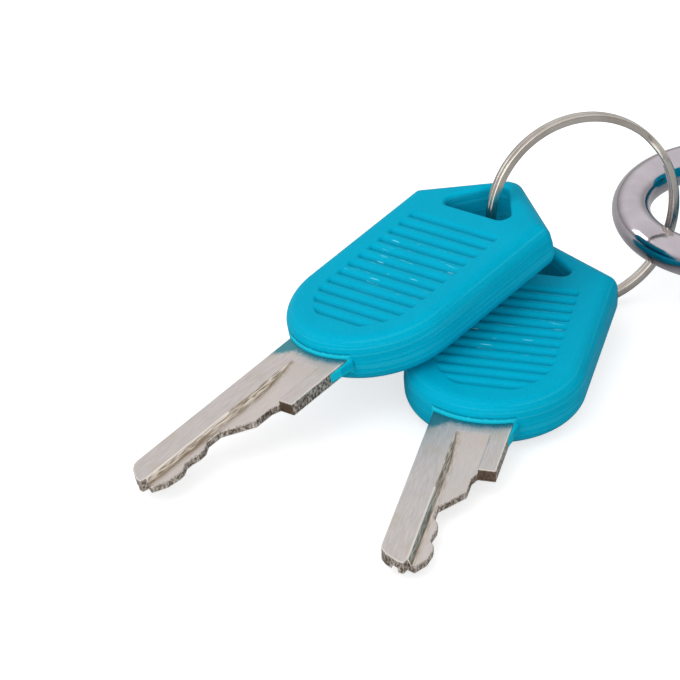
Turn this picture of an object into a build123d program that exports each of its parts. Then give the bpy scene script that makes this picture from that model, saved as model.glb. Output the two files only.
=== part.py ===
from build123d import *
import os
from math import asin, atan, cos, degrees, pi, radians, sin, sqrt, tan

# A luggage padlock with its two keys on a split ring. Sizes are in millimetres.
# The lock lies on its back on the table, z = 0. X runs along the lock, with the shackle's
# bow towards -X and the keyway at the +X end, and Z is the lock's thickness.
# The origin is the middle of the back cover's flat face.

# Lock body: a two-part moulded cover round a two-part cast case
BODY_LENGTH = 34.0
BODY_WIDTH = 34.0
BODY_THICKNESS = 15.0
BODY_CORNER = 5.5  # plan corner radius of the cover
COVER_WALL = 1.4
COVER_EDGE = 1.2  # rounding of the cover's front and back edges
CASE_GAP = 0.05  # between the case and the cover
LIP_HEIGHT = 1.0  # tongue of the back cover inside the front cover
LIP_GAP = 0.05
LEG_OPENING_GAP = 0.25  # radial, round each leg's bore in the cover
PLUG_OPENING_GAP = 0.2
COVER_RIB_PITCH = 1.9
COVER_VALLEYS = 10
COVER_PANEL_WIDTH = 20.0  # across the lock
COVER_PANEL_CORNER = 4.0
RIVET_D = 2.4
RIVET_HEAD_D = 3.8
RIVET_HEAD = 0.8
RIVET_EDGE = 0.6  # from a rivet's head to the end of the case

# Shackle
BAR_D = 4.0
LEG_SETBACK = 6.0  # from the body's side to a leg's axis
SHACKLE_STRAIGHT = 10.0  # bare straight leg between the body and the bow
TOE_DEPTH = 12.0  # how far the toe leg reaches into the body
TOE_CLEAR = 0.6  # between the body and the lifted toe
LEG_CLEAR = 0.08  # radial, between a leg and its bore
LEG_CHAMFER = 0.7
PIN_D = 1.5  # pin that keeps the heel leg in the body
PIN_BITE = 0.7  # how deep the pin sits in the leg's flat
PIN_GAP = 0.08  # between the pin and the flat
PIN_PLAY = 0.2  # between the pin and the ends of the neck and the flat
PIN_END_WALL = 1.0  # of the case over each end of the pin
PIN_WALL = 0.6  # of the case between the latches' channel and the pin
HEEL_FOOT = 1.8  # full round end of the heel leg behind the neck
HEEL_SPRING_LENGTH = 7.0
HEEL_SPRING_WIRE = 0.5
HEEL_SPRING_TURNS = 6
SPRING_SIDE_GAP = 0.1  # radial, round a spring in its bore
SPRING_END_GAP = 0.04  # at each end of a spring

# Latches, one for each leg, drawn in by the plug's tail
LATCH_WIDTH = 4.0
LATCH_TRAVEL = 1.6
LATCH_BITE = 1.4  # how deep a nose enters its notch when locked
LATCH_RAMP = 1.2  # slope on the nose that a closing leg pushes on
LATCH_GAP = 0.1  # round the latches in their channel
LATCH_CROSS_GAP = 0.25  # between one latch's body and the other's arm
TOE_BELOW_LATCH = 3.0  # from the latch's back to the toe leg's end
NOTCH_PLAY = 0.25
NOTCH_FLOOR_GAP = 0.1
LATCH_HALF_HEIGHT = 4.15
LATCH_ARM = 1.3
LATCH_FOOT = 1.2
LATCH_STOP_GAP = 0.24  # left between a foot and the other latch when drawn in
TAIL_HALF_THICKNESS = 1.0
TAIL_GAP = 0.36  # between the tail and a latch's foot
TAIL_JOIN = 0.1  # overlap of the tail and its shaft
LATCH_SPRING_D = 2.0
LATCH_SPRING_WIRE = 0.25
LATCH_SPRING_TURNS = 3
LATCH_SPRING_SEAT = 2.2  # depth of the blind hole in the latch
LATCH_SEAT_GAP = 0.15  # radial, round the spring in that hole

# Plug and tumblers
PLUG_R = 4.5
PLUG_CLEAR = 0.05
PLUG_RECESS = 0.6  # the plug's face lies this far inside the cover's end
PLUG_BARREL = 18.3
PLUG_CHAMFER = 0.4
PLUG_COLLAR_STEP = 0.5  # how far the collar stands out of the barrel
PLUG_COLLAR = 1.2
PLUG_COLLAR_BACK = 14.5  # from the plug's face to the collar's front
TAIL_SHAFT_R = 2.0
KEYWAY_SPINE_WALL = 0.2  # the key's spine lies this far inside the plug's surface
KEYWAY_END_WALL = 1.0  # of the plug behind the key's tip
KEYWAY_CLEAR = 0.1
TUMBLER_D = 2.6
TUMBLER_CLEAR = 0.04
TUMBLER_DROP = 1.1  # drilled this far past the deepest cut
KEY_PIN_SHORT = 0.2  # each key pin ends this far inside the shear line
KEY_PIN_ROUND = 0.3
KEY_PIN_CONE = 0.7
KEY_PIN_TIP_R = 0.45
DRIVER_GAP = 0.05  # between a driver and the shear line
DRIVER_LENGTH = 3.0
DRIVER_CHAMFER = 0.2
CHAMBER_WALL = 2.55  # of the case behind each driver's chamber
DRIVER_SPRING_WIRE = 0.3
DRIVER_SPRING_TURNS = 4

# Key blade, measured from where its spine meets the head
BLADE_WIDTH = 8.2
BLADE_THICKNESS = 1.4
BLADE_LENGTH = 25.8
BLADE_NECK = 9.3  # full width from the head to the shoulder
BLADE_STEP = 1.8  # narrower by this past the shoulder
SHOULDER_RUN = 0.9  # slope between the shoulder and the first cut
CUT_FIRST = 2.7  # from the shoulder to the first cut
CUT_PITCH = 4.3
CUT_1 = 6.0  # height of each cut over the spine, from the shoulder to the tip
CUT_2 = 3.8
CUT_3 = 4.3
CUT_1_FLAT = 0.45  # half the flat of each cut
CUT_2_FLAT = 0.9
CUT_3_FLAT = 0.4
LAND_AFTER_2 = 4.45  # height of what stands between the cuts
LAND_AFTER_3 = 4.85
LAND_AHEAD = 2.1  # from a cut to the land after it
LAND_FLAT = 0.5  # half the flat of a land
NOSE_BACK = 1.7  # of the nose's cut side, from the tip
NOSE_UPPER_BACK = 0.3
NOSE_CORNER_BACK = 0.45
NOSE_CURVE_BACK = 1.2
NOSE_SPINE_BACK = 2.3
NOSE_TOP = 4.6  # heights of the nose's corners over the spine
NOSE_UPPER = 3.7
NOSE_LOWER = 2.8
NOSE_CORNER = 1.6
NOSE_CURVE = 0.5
MILLING_START = 3.4  # from the head to where the cutters entered
MILLING_R = 30.0  # of the cutters
BAND_FRONT = 3.0  # from the spine to the band milled along the front face
BAND_FLANK = 0.4  # slope of the band's side
BAND_DEPTH = 0.6
GROOVE_BACK = 1.4  # from the spine to the groove along the back face
GROOVE_WIDTH = 0.7
GROOVE_DEPTH = 0.5
BLADE_ROOT = 0.8  # of the full blade inside the head
TANG_LENGTH = 13.0
TANG_WIDTH = 5.6
TANG_HOLE_D = 2.6
TANG_HOLE_BACK = 9.1

# Key head
HEAD_THICKNESS = 5.0
HEAD_HALF_WIDTH = 9.24  # at the parting line, half way up the side
HEAD_LENGTH = 30.36  # from the blade's root to the ring's end
HEAD_RIM_DRAFT = 0.65  # the faces are this much smaller all round
HEAD_OFFSET = 0.47  # the head's axis lies this far from the blade's, towards the cuts
HEAD_OVERHANG = 1.49  # of the round end past the blade's root
HEAD_ROOF = 5.56  # length of the sloping sides at the ring's end
HEAD_APEX_HALF = 0.63
HEAD_EDGE = 0.7
HEAD_CORNER_SPARE = 0.05  # radius left of a plan corner inside its rounded edge
RING_WALL = 2.06  # between the hole's apex and the ring's end
HOLE_LENGTH = 5.0
HOLE_HALF_WIDTH = 5.45
HOLE_APEX_HALF = 0.7
HOLE_CORNER = 0.9
HOLE_EDGE = 0.3
RIB_PITCH = 1.6
RIB_DEPTH = 0.36  # from a rib's crest to the sharp valley beside it
RIB_FIRST = 2.7  # from the blade's root to the first valley
RIB_HOLE_GAP = 2.2  # at least this from the last valley to the hole
PANEL_BORDER = 3.3  # plain border beside the ribs
PANEL_OVERHANG = 1.2  # of the panel's round end past that of the first valley

# Split ring: two turns of flat wire that cross over once
RING_MEAN_R = 10.1
RING_WIRE = 0.8  # across, in the ring's plane
RING_TURN = 0.58  # thickness of one turn, along the ring's axis
RING_TURN_GAP = 0.06
RING_CROSS_ANGLE = 25.0
RING_CROSS_AT = 45.0  # where the front turn starts
RING_CROSS_STEPS = 6
RING_TILT = 79.5
RING_YAW = 19.6
RING_HANG_GAP = 0.74  # between the ring and the shackle's bar
RING_HANG_ANGLE = 201.0  # where on the bow it hangs
TABLE_GAP = 0.23

# How the keys lie: yaw, pitch and roll of each blade, and where the ring passes its hole
KEY_1_TURN = (-131.3, 9.42, 7.9)
KEY_1_FROM_APEX = 3.88
KEY_1_ASIDE = 1.01
KEY_2_TURN = (-103.4, 2.91, 0.57)
KEY_2_FROM_APEX = 3.79
KEY_2_ASIDE = -1.37
KEY_2_RISE = 1.64  # of the lower key's mid plane at its hole, over half its thickness
KEY_STACK_GAP = 1.44  # between the two heads, measured along Z at the ring

PAST = 1.0  # how far a cutting solid runs past what it cuts

# Worked out from the sizes above
TOP = -BODY_LENGTH / 2
END = BODY_LENGTH / 2
MID = BODY_THICKNESS / 2
LEG_Y = BODY_WIDTH / 2 - LEG_SETBACK
LEG_INNER_Y = LEG_Y - BAR_D / 2
LEG_OUTER_Y = LEG_Y + BAR_D / 2
BOW_X = TOP - SHACKLE_STRAIGHT
CASE_INSET = COVER_WALL + CASE_GAP
CASE_LENGTH = BODY_LENGTH - 2 * CASE_INSET
CASE_WIDTH = BODY_WIDTH - 2 * CASE_INSET
CASE_THICKNESS = BODY_THICKNESS - 2 * CASE_INSET
CASE_CORNER = BODY_CORNER - CASE_INSET
CASE_TOP = -CASE_LENGTH / 2
CASE_END = CASE_LENGTH / 2
BORE_R = BAR_D / 2 + LEG_CLEAR
SHACKLE_LIFT = TOE_DEPTH + TOE_CLEAR
TOE_END = TOP + TOE_DEPTH
LATCH_BACK = TOE_END - TOE_BELOW_LATCH
LATCH_FRONT = LATCH_BACK - LATCH_WIDTH
LATCH_X = (LATCH_FRONT + LATCH_BACK) / 2
LEG_PIN_X = LATCH_FRONT - LATCH_GAP - PIN_WALL - PIN_D / 2
LEG_PIN_Y = LEG_OUTER_Y - PIN_BITE + PIN_D / 2
PIN_HALF = CASE_THICKNESS / 2 - PIN_END_WALL
NECK_FRONT = LEG_PIN_X + SHACKLE_LIFT - PIN_D / 2 - PIN_PLAY
NECK_BACK = LEG_PIN_X + SHACKLE_LIFT + PIN_D / 2 + PIN_PLAY
HEEL_END = NECK_BACK + HEEL_FOOT
HEEL_BORE_END = HEEL_END + HEEL_SPRING_LENGTH
NOSE_OUT = LEG_INNER_Y + LATCH_BITE
ARM_Z = LATCH_HALF_HEIGHT - LATCH_ARM
TAIL_HALF_WIDTH = TAIL_HALF_THICKNESS + LATCH_TRAVEL
FOOT_IN = TAIL_HALF_THICKNESS + TAIL_GAP
FOOT_OUT = FOOT_IN + LATCH_FOOT
BODY_IN = FOOT_OUT + 2 * LATCH_TRAVEL + LATCH_STOP_GAP
PLUG_FACE = END - PLUG_RECESS
PLUG_BACK = PLUG_FACE - PLUG_BARREL
COLLAR_FRONT = PLUG_FACE - PLUG_COLLAR_BACK
COLLAR_END = COLLAR_FRONT - PLUG_COLLAR
PLUG_COLLAR_R = PLUG_R + PLUG_COLLAR_STEP
SHEAR = PLUG_R + PLUG_CLEAR
CUTS = (CUT_1, CUT_2, CUT_3)
CUT_FLATS = (CUT_1_FLAT, CUT_2_FLAT, CUT_3_FLAT)
LANDS = (None, LAND_AFTER_2, LAND_AFTER_3)
TUMBLER_X = [PLUG_FACE - CUT_FIRST - i * CUT_PITCH for i in range(len(CUTS))]
DRIVER_IN = SHEAR + DRIVER_GAP
DRIVER_OUT = DRIVER_IN + DRIVER_LENGTH
CHAMBER_END = CASE_WIDTH / 2 - CHAMBER_WALL
KEYWAY_OPEN = PLUG_R - KEYWAY_SPINE_WALL
TUMBLER_END = KEYWAY_OPEN - min(CUTS) + TUMBLER_DROP
BLADE_INNER_WIDTH = BLADE_WIDTH - BLADE_STEP
HEAD_AXIS = BLADE_WIDTH / 2 + HEAD_OFFSET
HEAD_ROUND_CENTRE = HEAD_HALF_WIDTH - HEAD_OVERHANG
HEAD_SHOULDER = HEAD_LENGTH - HEAD_ROOF
HEAD_CORNER = HEAD_RIM_DRAFT + HEAD_EDGE + HEAD_CORNER_SPARE
HOLE_APEX = HEAD_LENGTH - RING_WALL
HOLE_BASE = HOLE_APEX - HOLE_LENGTH
RIB_VALLEYS = int((HOLE_BASE - RIB_HOLE_GAP - RIB_FIRST) / RIB_PITCH) + 1
PANEL_HALF_WIDTH = HEAD_HALF_WIDTH - PANEL_BORDER
PANEL_ROUND_CENTRE = RIB_FIRST + PANEL_HALF_WIDTH - PANEL_OVERHANG
RING_STEP = (RING_TURN + RING_TURN_GAP) / 2


def rounded_block(length, width, low, high, corner):
    """An upright block with rounded plan corners, between two heights."""
    plan = RectangleRounded(length, width, corner)
    return Pos(0, 0, low) * extrude(plan, high - low)


def along_x(radius, start, end, y=0.0):
    """A round bar along X at mid height, between two stations."""
    return Pos((start + end) / 2, y, MID) * Rot(Y=90) * Cylinder(radius, end - start)


def along_y(radius, start, end, x):
    """A round bar along Y at mid height."""
    return Pos(x, (start + end) / 2, MID) * Rot(X=90) * Cylinder(radius, end - start)


def block(x, y, z):
    """A box from three (low, high) pairs."""
    size = [high - low for low, high in (x, y, z)]
    middle = [(low + high) / 2 for low, high in (x, y, z)]
    return Pos(*middle) * Box(*size)


def coil(radius, wire, length, turns):
    """A spring along +Z from z = 0: a square wire swept on a chain of quarter-turn arcs."""
    quarters = 4 * turns
    rise = (length - wire) / quarters
    points = [
        Vector(radius * cos(k * pi / 2), radius * sin(k * pi / 2), wire / 2 + k * rise)
        for k in range(quarters + 1)
    ]
    chord_slope = atan(rise / (radius * sqrt(2)))
    swing = atan(cos(chord_slope) * tan(pi / 4))
    tangents = []
    for k in range(quarters):
        chord = (points[k + 1] - points[k]).normalized()
        half_way = (k + 0.5) * pi / 2
        outward = Vector(cos(half_way), sin(half_way), 0)
        tangents.append(chord * cos(swing) + outward * sin(swing))
    edges = [
        TangentArc(points[k], points[k + 1], tangent=tangents[k]) for k in range(quarters)
    ]
    path = Wire(edges)
    count = 6 * quarters
    samples = [path @ (i / count) for i in range(count + 1)]
    gap = min(
        (samples[i] - samples[j]).length - wire
        for i in range(count)
        for j in range(i + count // turns // 2, count + 1)
    )
    print(f"coil of {turns} turns, least gap to itself {gap:.2f} mm")
    plane = Plane(origin=points[0], z_dir=tangents[0], x_dir=Vector(1, 0, 0))
    return sweep(plane * RegularPolygon(wire / 2, 4, major_radius=True), path=path)


def cover_block(inset, low, high):
    """The cover's outline, drawn in by an inset, between two heights."""
    return rounded_block(
        BODY_LENGTH - 2 * inset, BODY_WIDTH - 2 * inset, low, high, BODY_CORNER - inset
    )


def cover_openings():
    """Round holes in the cover's ends for the two legs and the plug."""
    leg_r = BORE_R + LEG_OPENING_GAP
    legs = [along_x(leg_r, TOP - PAST, TOP + BODY_CORNER, y) for y in (-LEG_Y, LEG_Y)]
    plug_r = SHEAR + PLUG_OPENING_GAP
    return legs[0] + legs[1] + along_x(plug_r, END - BODY_CORNER, END + PAST)


def half_cover(back):
    """One moulded half of the cover, as an open shell up to the mid plane."""
    low, high = (0, MID) if back else (MID, BODY_THICKNESS)
    shell = cover_block(0, low, high)
    face = shell.faces().sort_by(Axis.Z)[0 if back else -1]
    shell = fillet(face.edges(), COVER_EDGE)
    inside = (COVER_WALL, MID + PAST) if back else (MID - PAST, BODY_THICKNESS - COVER_WALL)
    return shell - cover_block(COVER_WALL, *inside)


def lip(gap):
    """The tongue that locates the cover halves on each other."""
    top = MID + LIP_HEIGHT + gap
    ring = cover_block(COVER_WALL / 2 - gap, MID - gap, top)
    return ring - cover_block(COVER_WALL, MID - PAST, top + PAST)


def back_cover():
    """The lower half, with a flat back that the lock lies on."""
    return half_cover(True) + lip(0) - cover_openings()


def rib_valleys(first, pitch, count, half_length):
    """Sharp valleys across X with a rounded crest between each two, cut down from z = 0."""
    crest = (pitch**2 / 4 + RIB_DEPTH**2) / (2 * RIB_DEPTH)
    shoulder = sqrt(crest**2 - pitch**2 / 16) - crest
    cuts = []
    for i in range(count):
        x = first + i * pitch
        falling = ThreePointArc((x - pitch / 2, 0), (x - pitch / 4, shoulder), (x, -RIB_DEPTH))
        rising = ThreePointArc((x, -RIB_DEPTH), (x + pitch / 4, shoulder), (x + pitch / 2, 0))
        mouth = Line((x + pitch / 2, 0), (x - pitch / 2, 0))
        section = Plane.XZ * make_face([falling, rising, mouth])
        cuts.append(extrude(section, half_length, both=True))
    return cuts


def front_cover():
    """The upper half, with a ribbed panel like those on the key heads."""
    length = COVER_RIB_PITCH * COVER_VALLEYS
    plan = RectangleRounded(length, COVER_PANEL_WIDTH, COVER_PANEL_CORNER)
    panel = extrude(plan, PAST, both=True)
    first = (COVER_RIB_PITCH - length) / 2
    valleys = rib_valleys(first, COVER_RIB_PITCH, COVER_VALLEYS, COVER_PANEL_WIDTH)
    ribs = Compound([panel & valley for valley in valleys])
    shell = half_cover(False) - lip(LIP_GAP) - Pos(0, 0, BODY_THICKNESS) * ribs
    return shell - cover_openings()


def rivet_places():
    """Where the four rivets go: beside the tail, behind the toe leg and beside the plug."""
    beside_tail = (TAIL_SHAFT_R + LEG_Y - BORE_R) / 2
    x_tail = (LATCH_BACK + PLUG_BACK) / 2
    x_toe = (TOE_END + LATCH_GAP + TUMBLER_X[-1] - TUMBLER_D / 2) / 2
    return [
        (x_tail, beside_tail),
        (x_tail, -beside_tail),
        (x_toe, -(PLUG_R + CASE_WIDTH / 2) / 2),
        (CASE_END - RIVET_HEAD_D / 2 - RIVET_EDGE, (PLUG_R + CASE_WIDTH / 2) / 2),
    ]


def rivet(x, y):
    """A rivet with a countersunk head at each face of the case."""
    half = CASE_THICKNESS / 2
    profile = Polyline(
        (0, -half),
        (RIVET_HEAD_D / 2, -half),
        (RIVET_D / 2, RIVET_HEAD - half),
        (RIVET_D / 2, half - RIVET_HEAD),
        (RIVET_HEAD_D / 2, half),
        (0, half),
        close=True,
    )
    return Pos(x, y, MID) * revolve(Plane.XZ * make_face(profile), Axis.Z)


def case_hollows():
    """Everything that is cut out of the case: bores, channel, chambers and rivet holes."""
    cut = along_x(BORE_R, CASE_TOP - PAST, HEEL_BORE_END, LEG_Y)
    cut += along_x(BORE_R, CASE_TOP - PAST, TOE_END + LATCH_GAP, -LEG_Y)
    cut += along_x(SHEAR, PLUG_BACK - PLUG_CLEAR, CASE_END + PAST)
    collar_room = PLUG_COLLAR_R + PLUG_CLEAR
    cut += along_x(collar_room, COLLAR_END - PLUG_CLEAR, COLLAR_FRONT + PLUG_CLEAR)
    cut += along_x(TAIL_SHAFT_R + PLUG_CLEAR, LATCH_FRONT, PLUG_BACK)
    reach = NOSE_OUT + LATCH_GAP
    high = LATCH_HALF_HEIGHT + LATCH_GAP
    channel_x = (LATCH_FRONT - LATCH_GAP, LATCH_BACK + LATCH_GAP)
    cut += block(channel_x, (-reach, reach), (MID - high, MID + high))
    for x in TUMBLER_X:
        cut += along_y(TUMBLER_D / 2 + TUMBLER_CLEAR, -CHAMBER_END, 0, x)
    cut += shackle_pin()
    for x, y in rivet_places():
        cut += rivet(x, y)
    return cut


def case_halves():
    """The back and front castings, which meet on the mid plane."""
    half = CASE_THICKNESS / 2
    hollows = case_hollows()
    back = rounded_block(CASE_LENGTH, CASE_WIDTH, MID - half, MID, CASE_CORNER)
    front = rounded_block(CASE_LENGTH, CASE_WIDTH, MID, MID + half, CASE_CORNER)
    return back - hollows, front - hollows


def shackle_bar():
    """The bent round bar with chamfered ends, before its notches."""
    section = Pos(LEG_Y, MID) * Circle(BAR_D / 2)
    bow = revolve(Plane.XZ * section, Axis.Z, 180)
    bow = Pos(BOW_X, 0, 0) * Rot(Z=90) * bow
    heel = chamfered_leg(HEEL_END, LEG_Y)
    toe = chamfered_leg(TOE_END, -LEG_Y)
    return bow + heel + toe


def chamfered_leg(end, y):
    """One straight leg from the bow to its chamfered end."""
    leg = along_x(BAR_D / 2, BOW_X, end, y)
    return chamfer(leg.edges().sort_by(Axis.X)[-1], LEG_CHAMFER)


def shackle():
    """A bent round bar: a long heel leg at +Y and a short toe leg at -Y.

    Each leg has a notch for its latch. The heel leg also has a long flat for the pin, and a
    neck all round, in which the pin lets the lifted shackle turn."""
    bar = shackle_bar()
    tall = (MID - BAR_D, MID + BAR_D)
    notch_x = (LATCH_FRONT - NOTCH_PLAY, LATCH_BACK + NOTCH_PLAY)
    floor = NOSE_OUT + NOTCH_FLOOR_GAP
    bar -= block(notch_x, (0, floor), tall)
    bar -= block(notch_x, (-floor, 0), tall)
    flat_y = LEG_OUTER_Y - PIN_BITE - PIN_GAP
    flat_front = LEG_PIN_X - PIN_D / 2 - PIN_PLAY
    bar -= block((flat_front, NECK_BACK), (flat_y, LEG_Y + BAR_D), tall)
    neck = along_x(BAR_D, NECK_FRONT, NECK_BACK, LEG_Y)
    neck -= along_x(flat_y - LEG_Y, NECK_FRONT - PAST, NECK_BACK + PAST, LEG_Y)
    return bar - neck


def shackle_spring():
    """The spring under the heel leg."""
    radius = BAR_D / 2 - HEEL_SPRING_WIRE / 2 - SPRING_SIDE_GAP
    length = HEEL_SPRING_LENGTH - 2 * SPRING_END_GAP
    spring = coil(radius, HEEL_SPRING_WIRE, length, HEEL_SPRING_TURNS)
    return Pos(HEEL_END + SPRING_END_GAP, LEG_Y, MID) * Rot(Y=90) * spring


def shackle_pin():
    """The upright pin beside the heel leg, in the leg's long flat."""
    return Pos(LEG_PIN_X, LEG_PIN_Y, MID) * Cylinder(PIN_D / 2, 2 * PIN_HALF)


def toe_latch():
    """A J-shaped slide: nose and body beside the toe leg, arm over the tail, foot beyond it.

    It is drawn in by its travel, as the turned key holds it."""
    x = (LATCH_FRONT, LATCH_BACK)
    low = MID - ARM_Z + LATCH_CROSS_GAP
    high = MID + LATCH_HALF_HEIGHT
    body = block(x, (-NOSE_OUT, -BODY_IN), (low, high))
    arm = block(x, (-BODY_IN, FOOT_OUT), (MID + ARM_Z, high))
    foot = block(x, (FOOT_IN, FOOT_OUT), (low, high))
    seat_r = LATCH_SPRING_D / 2 + LATCH_SEAT_GAP
    seat = along_y(seat_r, -BODY_IN - LATCH_SPRING_SEAT, -BODY_IN, LATCH_X)
    slide = body + arm + foot - seat
    nose = slide.faces().sort_by(Axis.Y)[0]
    ramp = nose.edges().filter_by(Axis.Z).sort_by(Axis.X)[0]
    return Pos(0, LATCH_TRAVEL, 0) * chamfer(ramp, LATCH_RAMP)


def turned_over(thing):
    """Half a turn about the lock's long axis."""
    return Pos(0, 0, MID) * Rot(X=180) * Pos(0, 0, -MID) * thing


def latch_spring():
    """Between the toe latch's foot and the heel latch's blind hole, as pressed at rest."""
    start = FOOT_OUT + LATCH_TRAVEL
    end = BODY_IN + LATCH_SPRING_SEAT - LATCH_TRAVEL
    radius = (LATCH_SPRING_D - LATCH_SPRING_WIRE) / 2
    length = end - start - 2 * SPRING_END_GAP
    spring = coil(radius, LATCH_SPRING_WIRE, length, LATCH_SPRING_TURNS)
    return Pos(LATCH_X, start + SPRING_END_GAP, MID) * Rot(X=-90) * spring


def keyway():
    """The slot for the blade, with wards for its band and its groove, in the plug at 0 turn.

    The spine runs on the +Y side and the cuts face -Y, towards the tumblers."""
    gap = KEYWAY_CLEAR
    half = BLADE_THICKNESS / 2 + gap
    low = KEYWAY_OPEN - BLADE_INNER_WIDTH - 2 * gap
    start = PLUG_BACK + KEYWAY_END_WALL
    slot = block((start, PLUG_FACE + PAST), (low, PLUG_R + PAST), (MID - half, MID + half))
    along = (start - PAST, PLUG_FACE + 2 * PAST)
    band_y = (low - PAST, KEYWAY_OPEN - BAND_FRONT - BAND_FLANK - gap)
    band = block(along, band_y, (MID + half - BAND_DEPTH, MID + half + PAST))
    groove_y = KEYWAY_OPEN - GROOVE_BACK - gap
    groove_y = (groove_y - GROOVE_WIDTH + 2 * gap, groove_y)
    groove = block(along, groove_y, (MID - half - PAST, MID - half + GROOVE_DEPTH))
    return slot - band - groove


def tumbler_hole(i):
    """The radial hole for one tumbler in the plug at 0 turn."""
    return along_y(TUMBLER_D / 2 + TUMBLER_CLEAR, -PLUG_R - PAST, TUMBLER_END, TUMBLER_X[i])


def plug_turned(thing):
    """Turns a piece of the plug from the locked place to the rest pose's open place."""
    return Pos(0, 0, MID) * Rot(X=90) * Pos(0, 0, -MID) * thing


def plug():
    """The turning barrel, its collar, its tail shaft and the flat tail between the latches."""
    barrel = along_x(PLUG_R, PLUG_BACK, PLUG_FACE)
    barrel = chamfer(barrel.edges().sort_by(Axis.X)[-1], PLUG_CHAMFER)
    barrel += along_x(PLUG_COLLAR_R, COLLAR_END, COLLAR_FRONT)
    barrel += along_x(TAIL_SHAFT_R, LATCH_BACK + TAIL_JOIN, PLUG_BACK)
    tail = SlotOverall(2 * TAIL_HALF_WIDTH, 2 * TAIL_HALF_THICKNESS)
    tail = Plane((LATCH_FRONT, 0, MID), x_dir=(0, 0, 1), z_dir=(1, 0, 0)) * tail
    barrel += extrude(tail, LATCH_WIDTH + TAIL_JOIN)
    barrel -= keyway()
    for i in range(len(CUTS)):
        barrel -= tumbler_hole(i)
    return plug_turned(barrel)


def key_pin(i):
    """The lower tumbler, as long as its cut is deep, with a pointed inner end."""
    tip = KEYWAY_OPEN - CUTS[i]
    outer = KEY_PIN_SHORT - SHEAR
    r = TUMBLER_D / 2
    profile = Polyline(
        (0, tip),
        (KEY_PIN_TIP_R, tip),
        (r, tip - KEY_PIN_CONE),
        (r, outer + KEY_PIN_ROUND),
        (r - KEY_PIN_ROUND, outer),
        (0, outer),
        close=True,
    )
    pin = revolve(make_face(profile), Axis.Y)
    return plug_turned(Pos(TUMBLER_X[i], 0, MID) * pin)


def driver_pin(i):
    """The upper tumbler, in the case."""
    pin = along_y(TUMBLER_D / 2, -DRIVER_OUT, -DRIVER_IN, TUMBLER_X[i])
    return chamfer(pin.edges().filter_by(GeomType.CIRCLE), DRIVER_CHAMFER)


def driver_spring(i):
    """The small spring behind a driver."""
    radius = TUMBLER_D / 2 - DRIVER_SPRING_WIRE / 2 - SPRING_SIDE_GAP
    length = CHAMBER_END - DRIVER_OUT - 2 * SPRING_END_GAP
    spring = coil(radius, DRIVER_SPRING_WIRE, length, DRIVER_SPRING_TURNS)
    return Pos(TUMBLER_X[i], -DRIVER_OUT - SPRING_END_GAP, MID) * Rot(X=90) * spring


def cut_outline():
    """The blade's cut edge, from the shoulder to the nose."""
    points = [(BLADE_NECK, BLADE_INNER_WIDTH), (BLADE_NECK + SHOULDER_RUN, CUT_1)]
    for i, height in enumerate(CUTS):
        at = BLADE_NECK + CUT_FIRST + i * CUT_PITCH
        if LANDS[i]:
            points.append((at - CUT_FLATS[i], height))
        points.append((at + CUT_FLATS[i], height))
        if LANDS[i]:
            land = at + LAND_AHEAD
            points += [(land - LAND_FLAT, LANDS[i]), (land + LAND_FLAT, LANDS[i])]
    return points + [(BLADE_LENGTH - NOSE_BACK, NOSE_TOP)]


def milled(side, start, up):
    """What a disc cutter takes from one face: a section's side along a run that ends in an arc.

    The section is given as (distance from the spine, depth) points."""
    half = BLADE_THICKNESS / 2
    depth = max(d for _, d in side)
    run_in = sqrt(MILLING_R**2 - (MILLING_R - depth) ** 2)
    full = start + run_in
    part_way = start + run_in / 2
    sag = MILLING_R - depth - sqrt(MILLING_R**2 - (run_in / 2) ** 2)
    far = BLADE_LENGTH + PAST
    arc = ThreePointArc((start, half), (part_way, half + sag), (full, half - depth))
    points = [(full, half - depth), (far, half - depth), (far, half + PAST), (start, half + PAST)]
    rest = Polyline(*points, (start, half))
    run = extrude(Plane.XZ * make_face([arc, *rest.edges()]), 2 * BLADE_WIDTH, both=True)
    outline = Polyline(*[(v, half - d) for v, d in side], close=True)
    section = Plane.YZ * make_face(outline)
    cut = run & extrude(section, BLADE_LENGTH + PAST)
    return cut if up else mirror(cut, Plane.XY)


def band():
    """The wide band milled along the front face, with a sloping side by the spine."""
    slope = PAST * BAND_FLANK / BAND_DEPTH
    side = [
        (BAND_FRONT - slope, -PAST),
        (BAND_FRONT + BAND_FLANK, BAND_DEPTH),
        (BLADE_INNER_WIDTH, BAND_DEPTH),
        (BLADE_INNER_WIDTH, -PAST),
    ]
    return milled(side, MILLING_START, True)


def back_groove():
    """The narrow groove milled along the back face."""
    far = GROOVE_BACK + GROOVE_WIDTH
    side = [(GROOVE_BACK, -PAST), (GROOVE_BACK, GROOVE_DEPTH), (far, GROOVE_DEPTH), (far, -PAST)]
    return milled(side, MILLING_START, False)


def tang():
    """The blade's hidden root, with the hole that the head's plastic flows through."""
    low = (BLADE_WIDTH - TANG_WIDTH) / 2
    half = BLADE_THICKNESS / 2
    root = block((-TANG_LENGTH, 0.0), (low, low + TANG_WIDTH), (-half, half))
    hole = Cylinder(TANG_HOLE_D / 2, 2 * BLADE_THICKNESS)
    return root - Pos(-TANG_HOLE_BACK, BLADE_WIDTH / 2, 0) * hole


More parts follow.
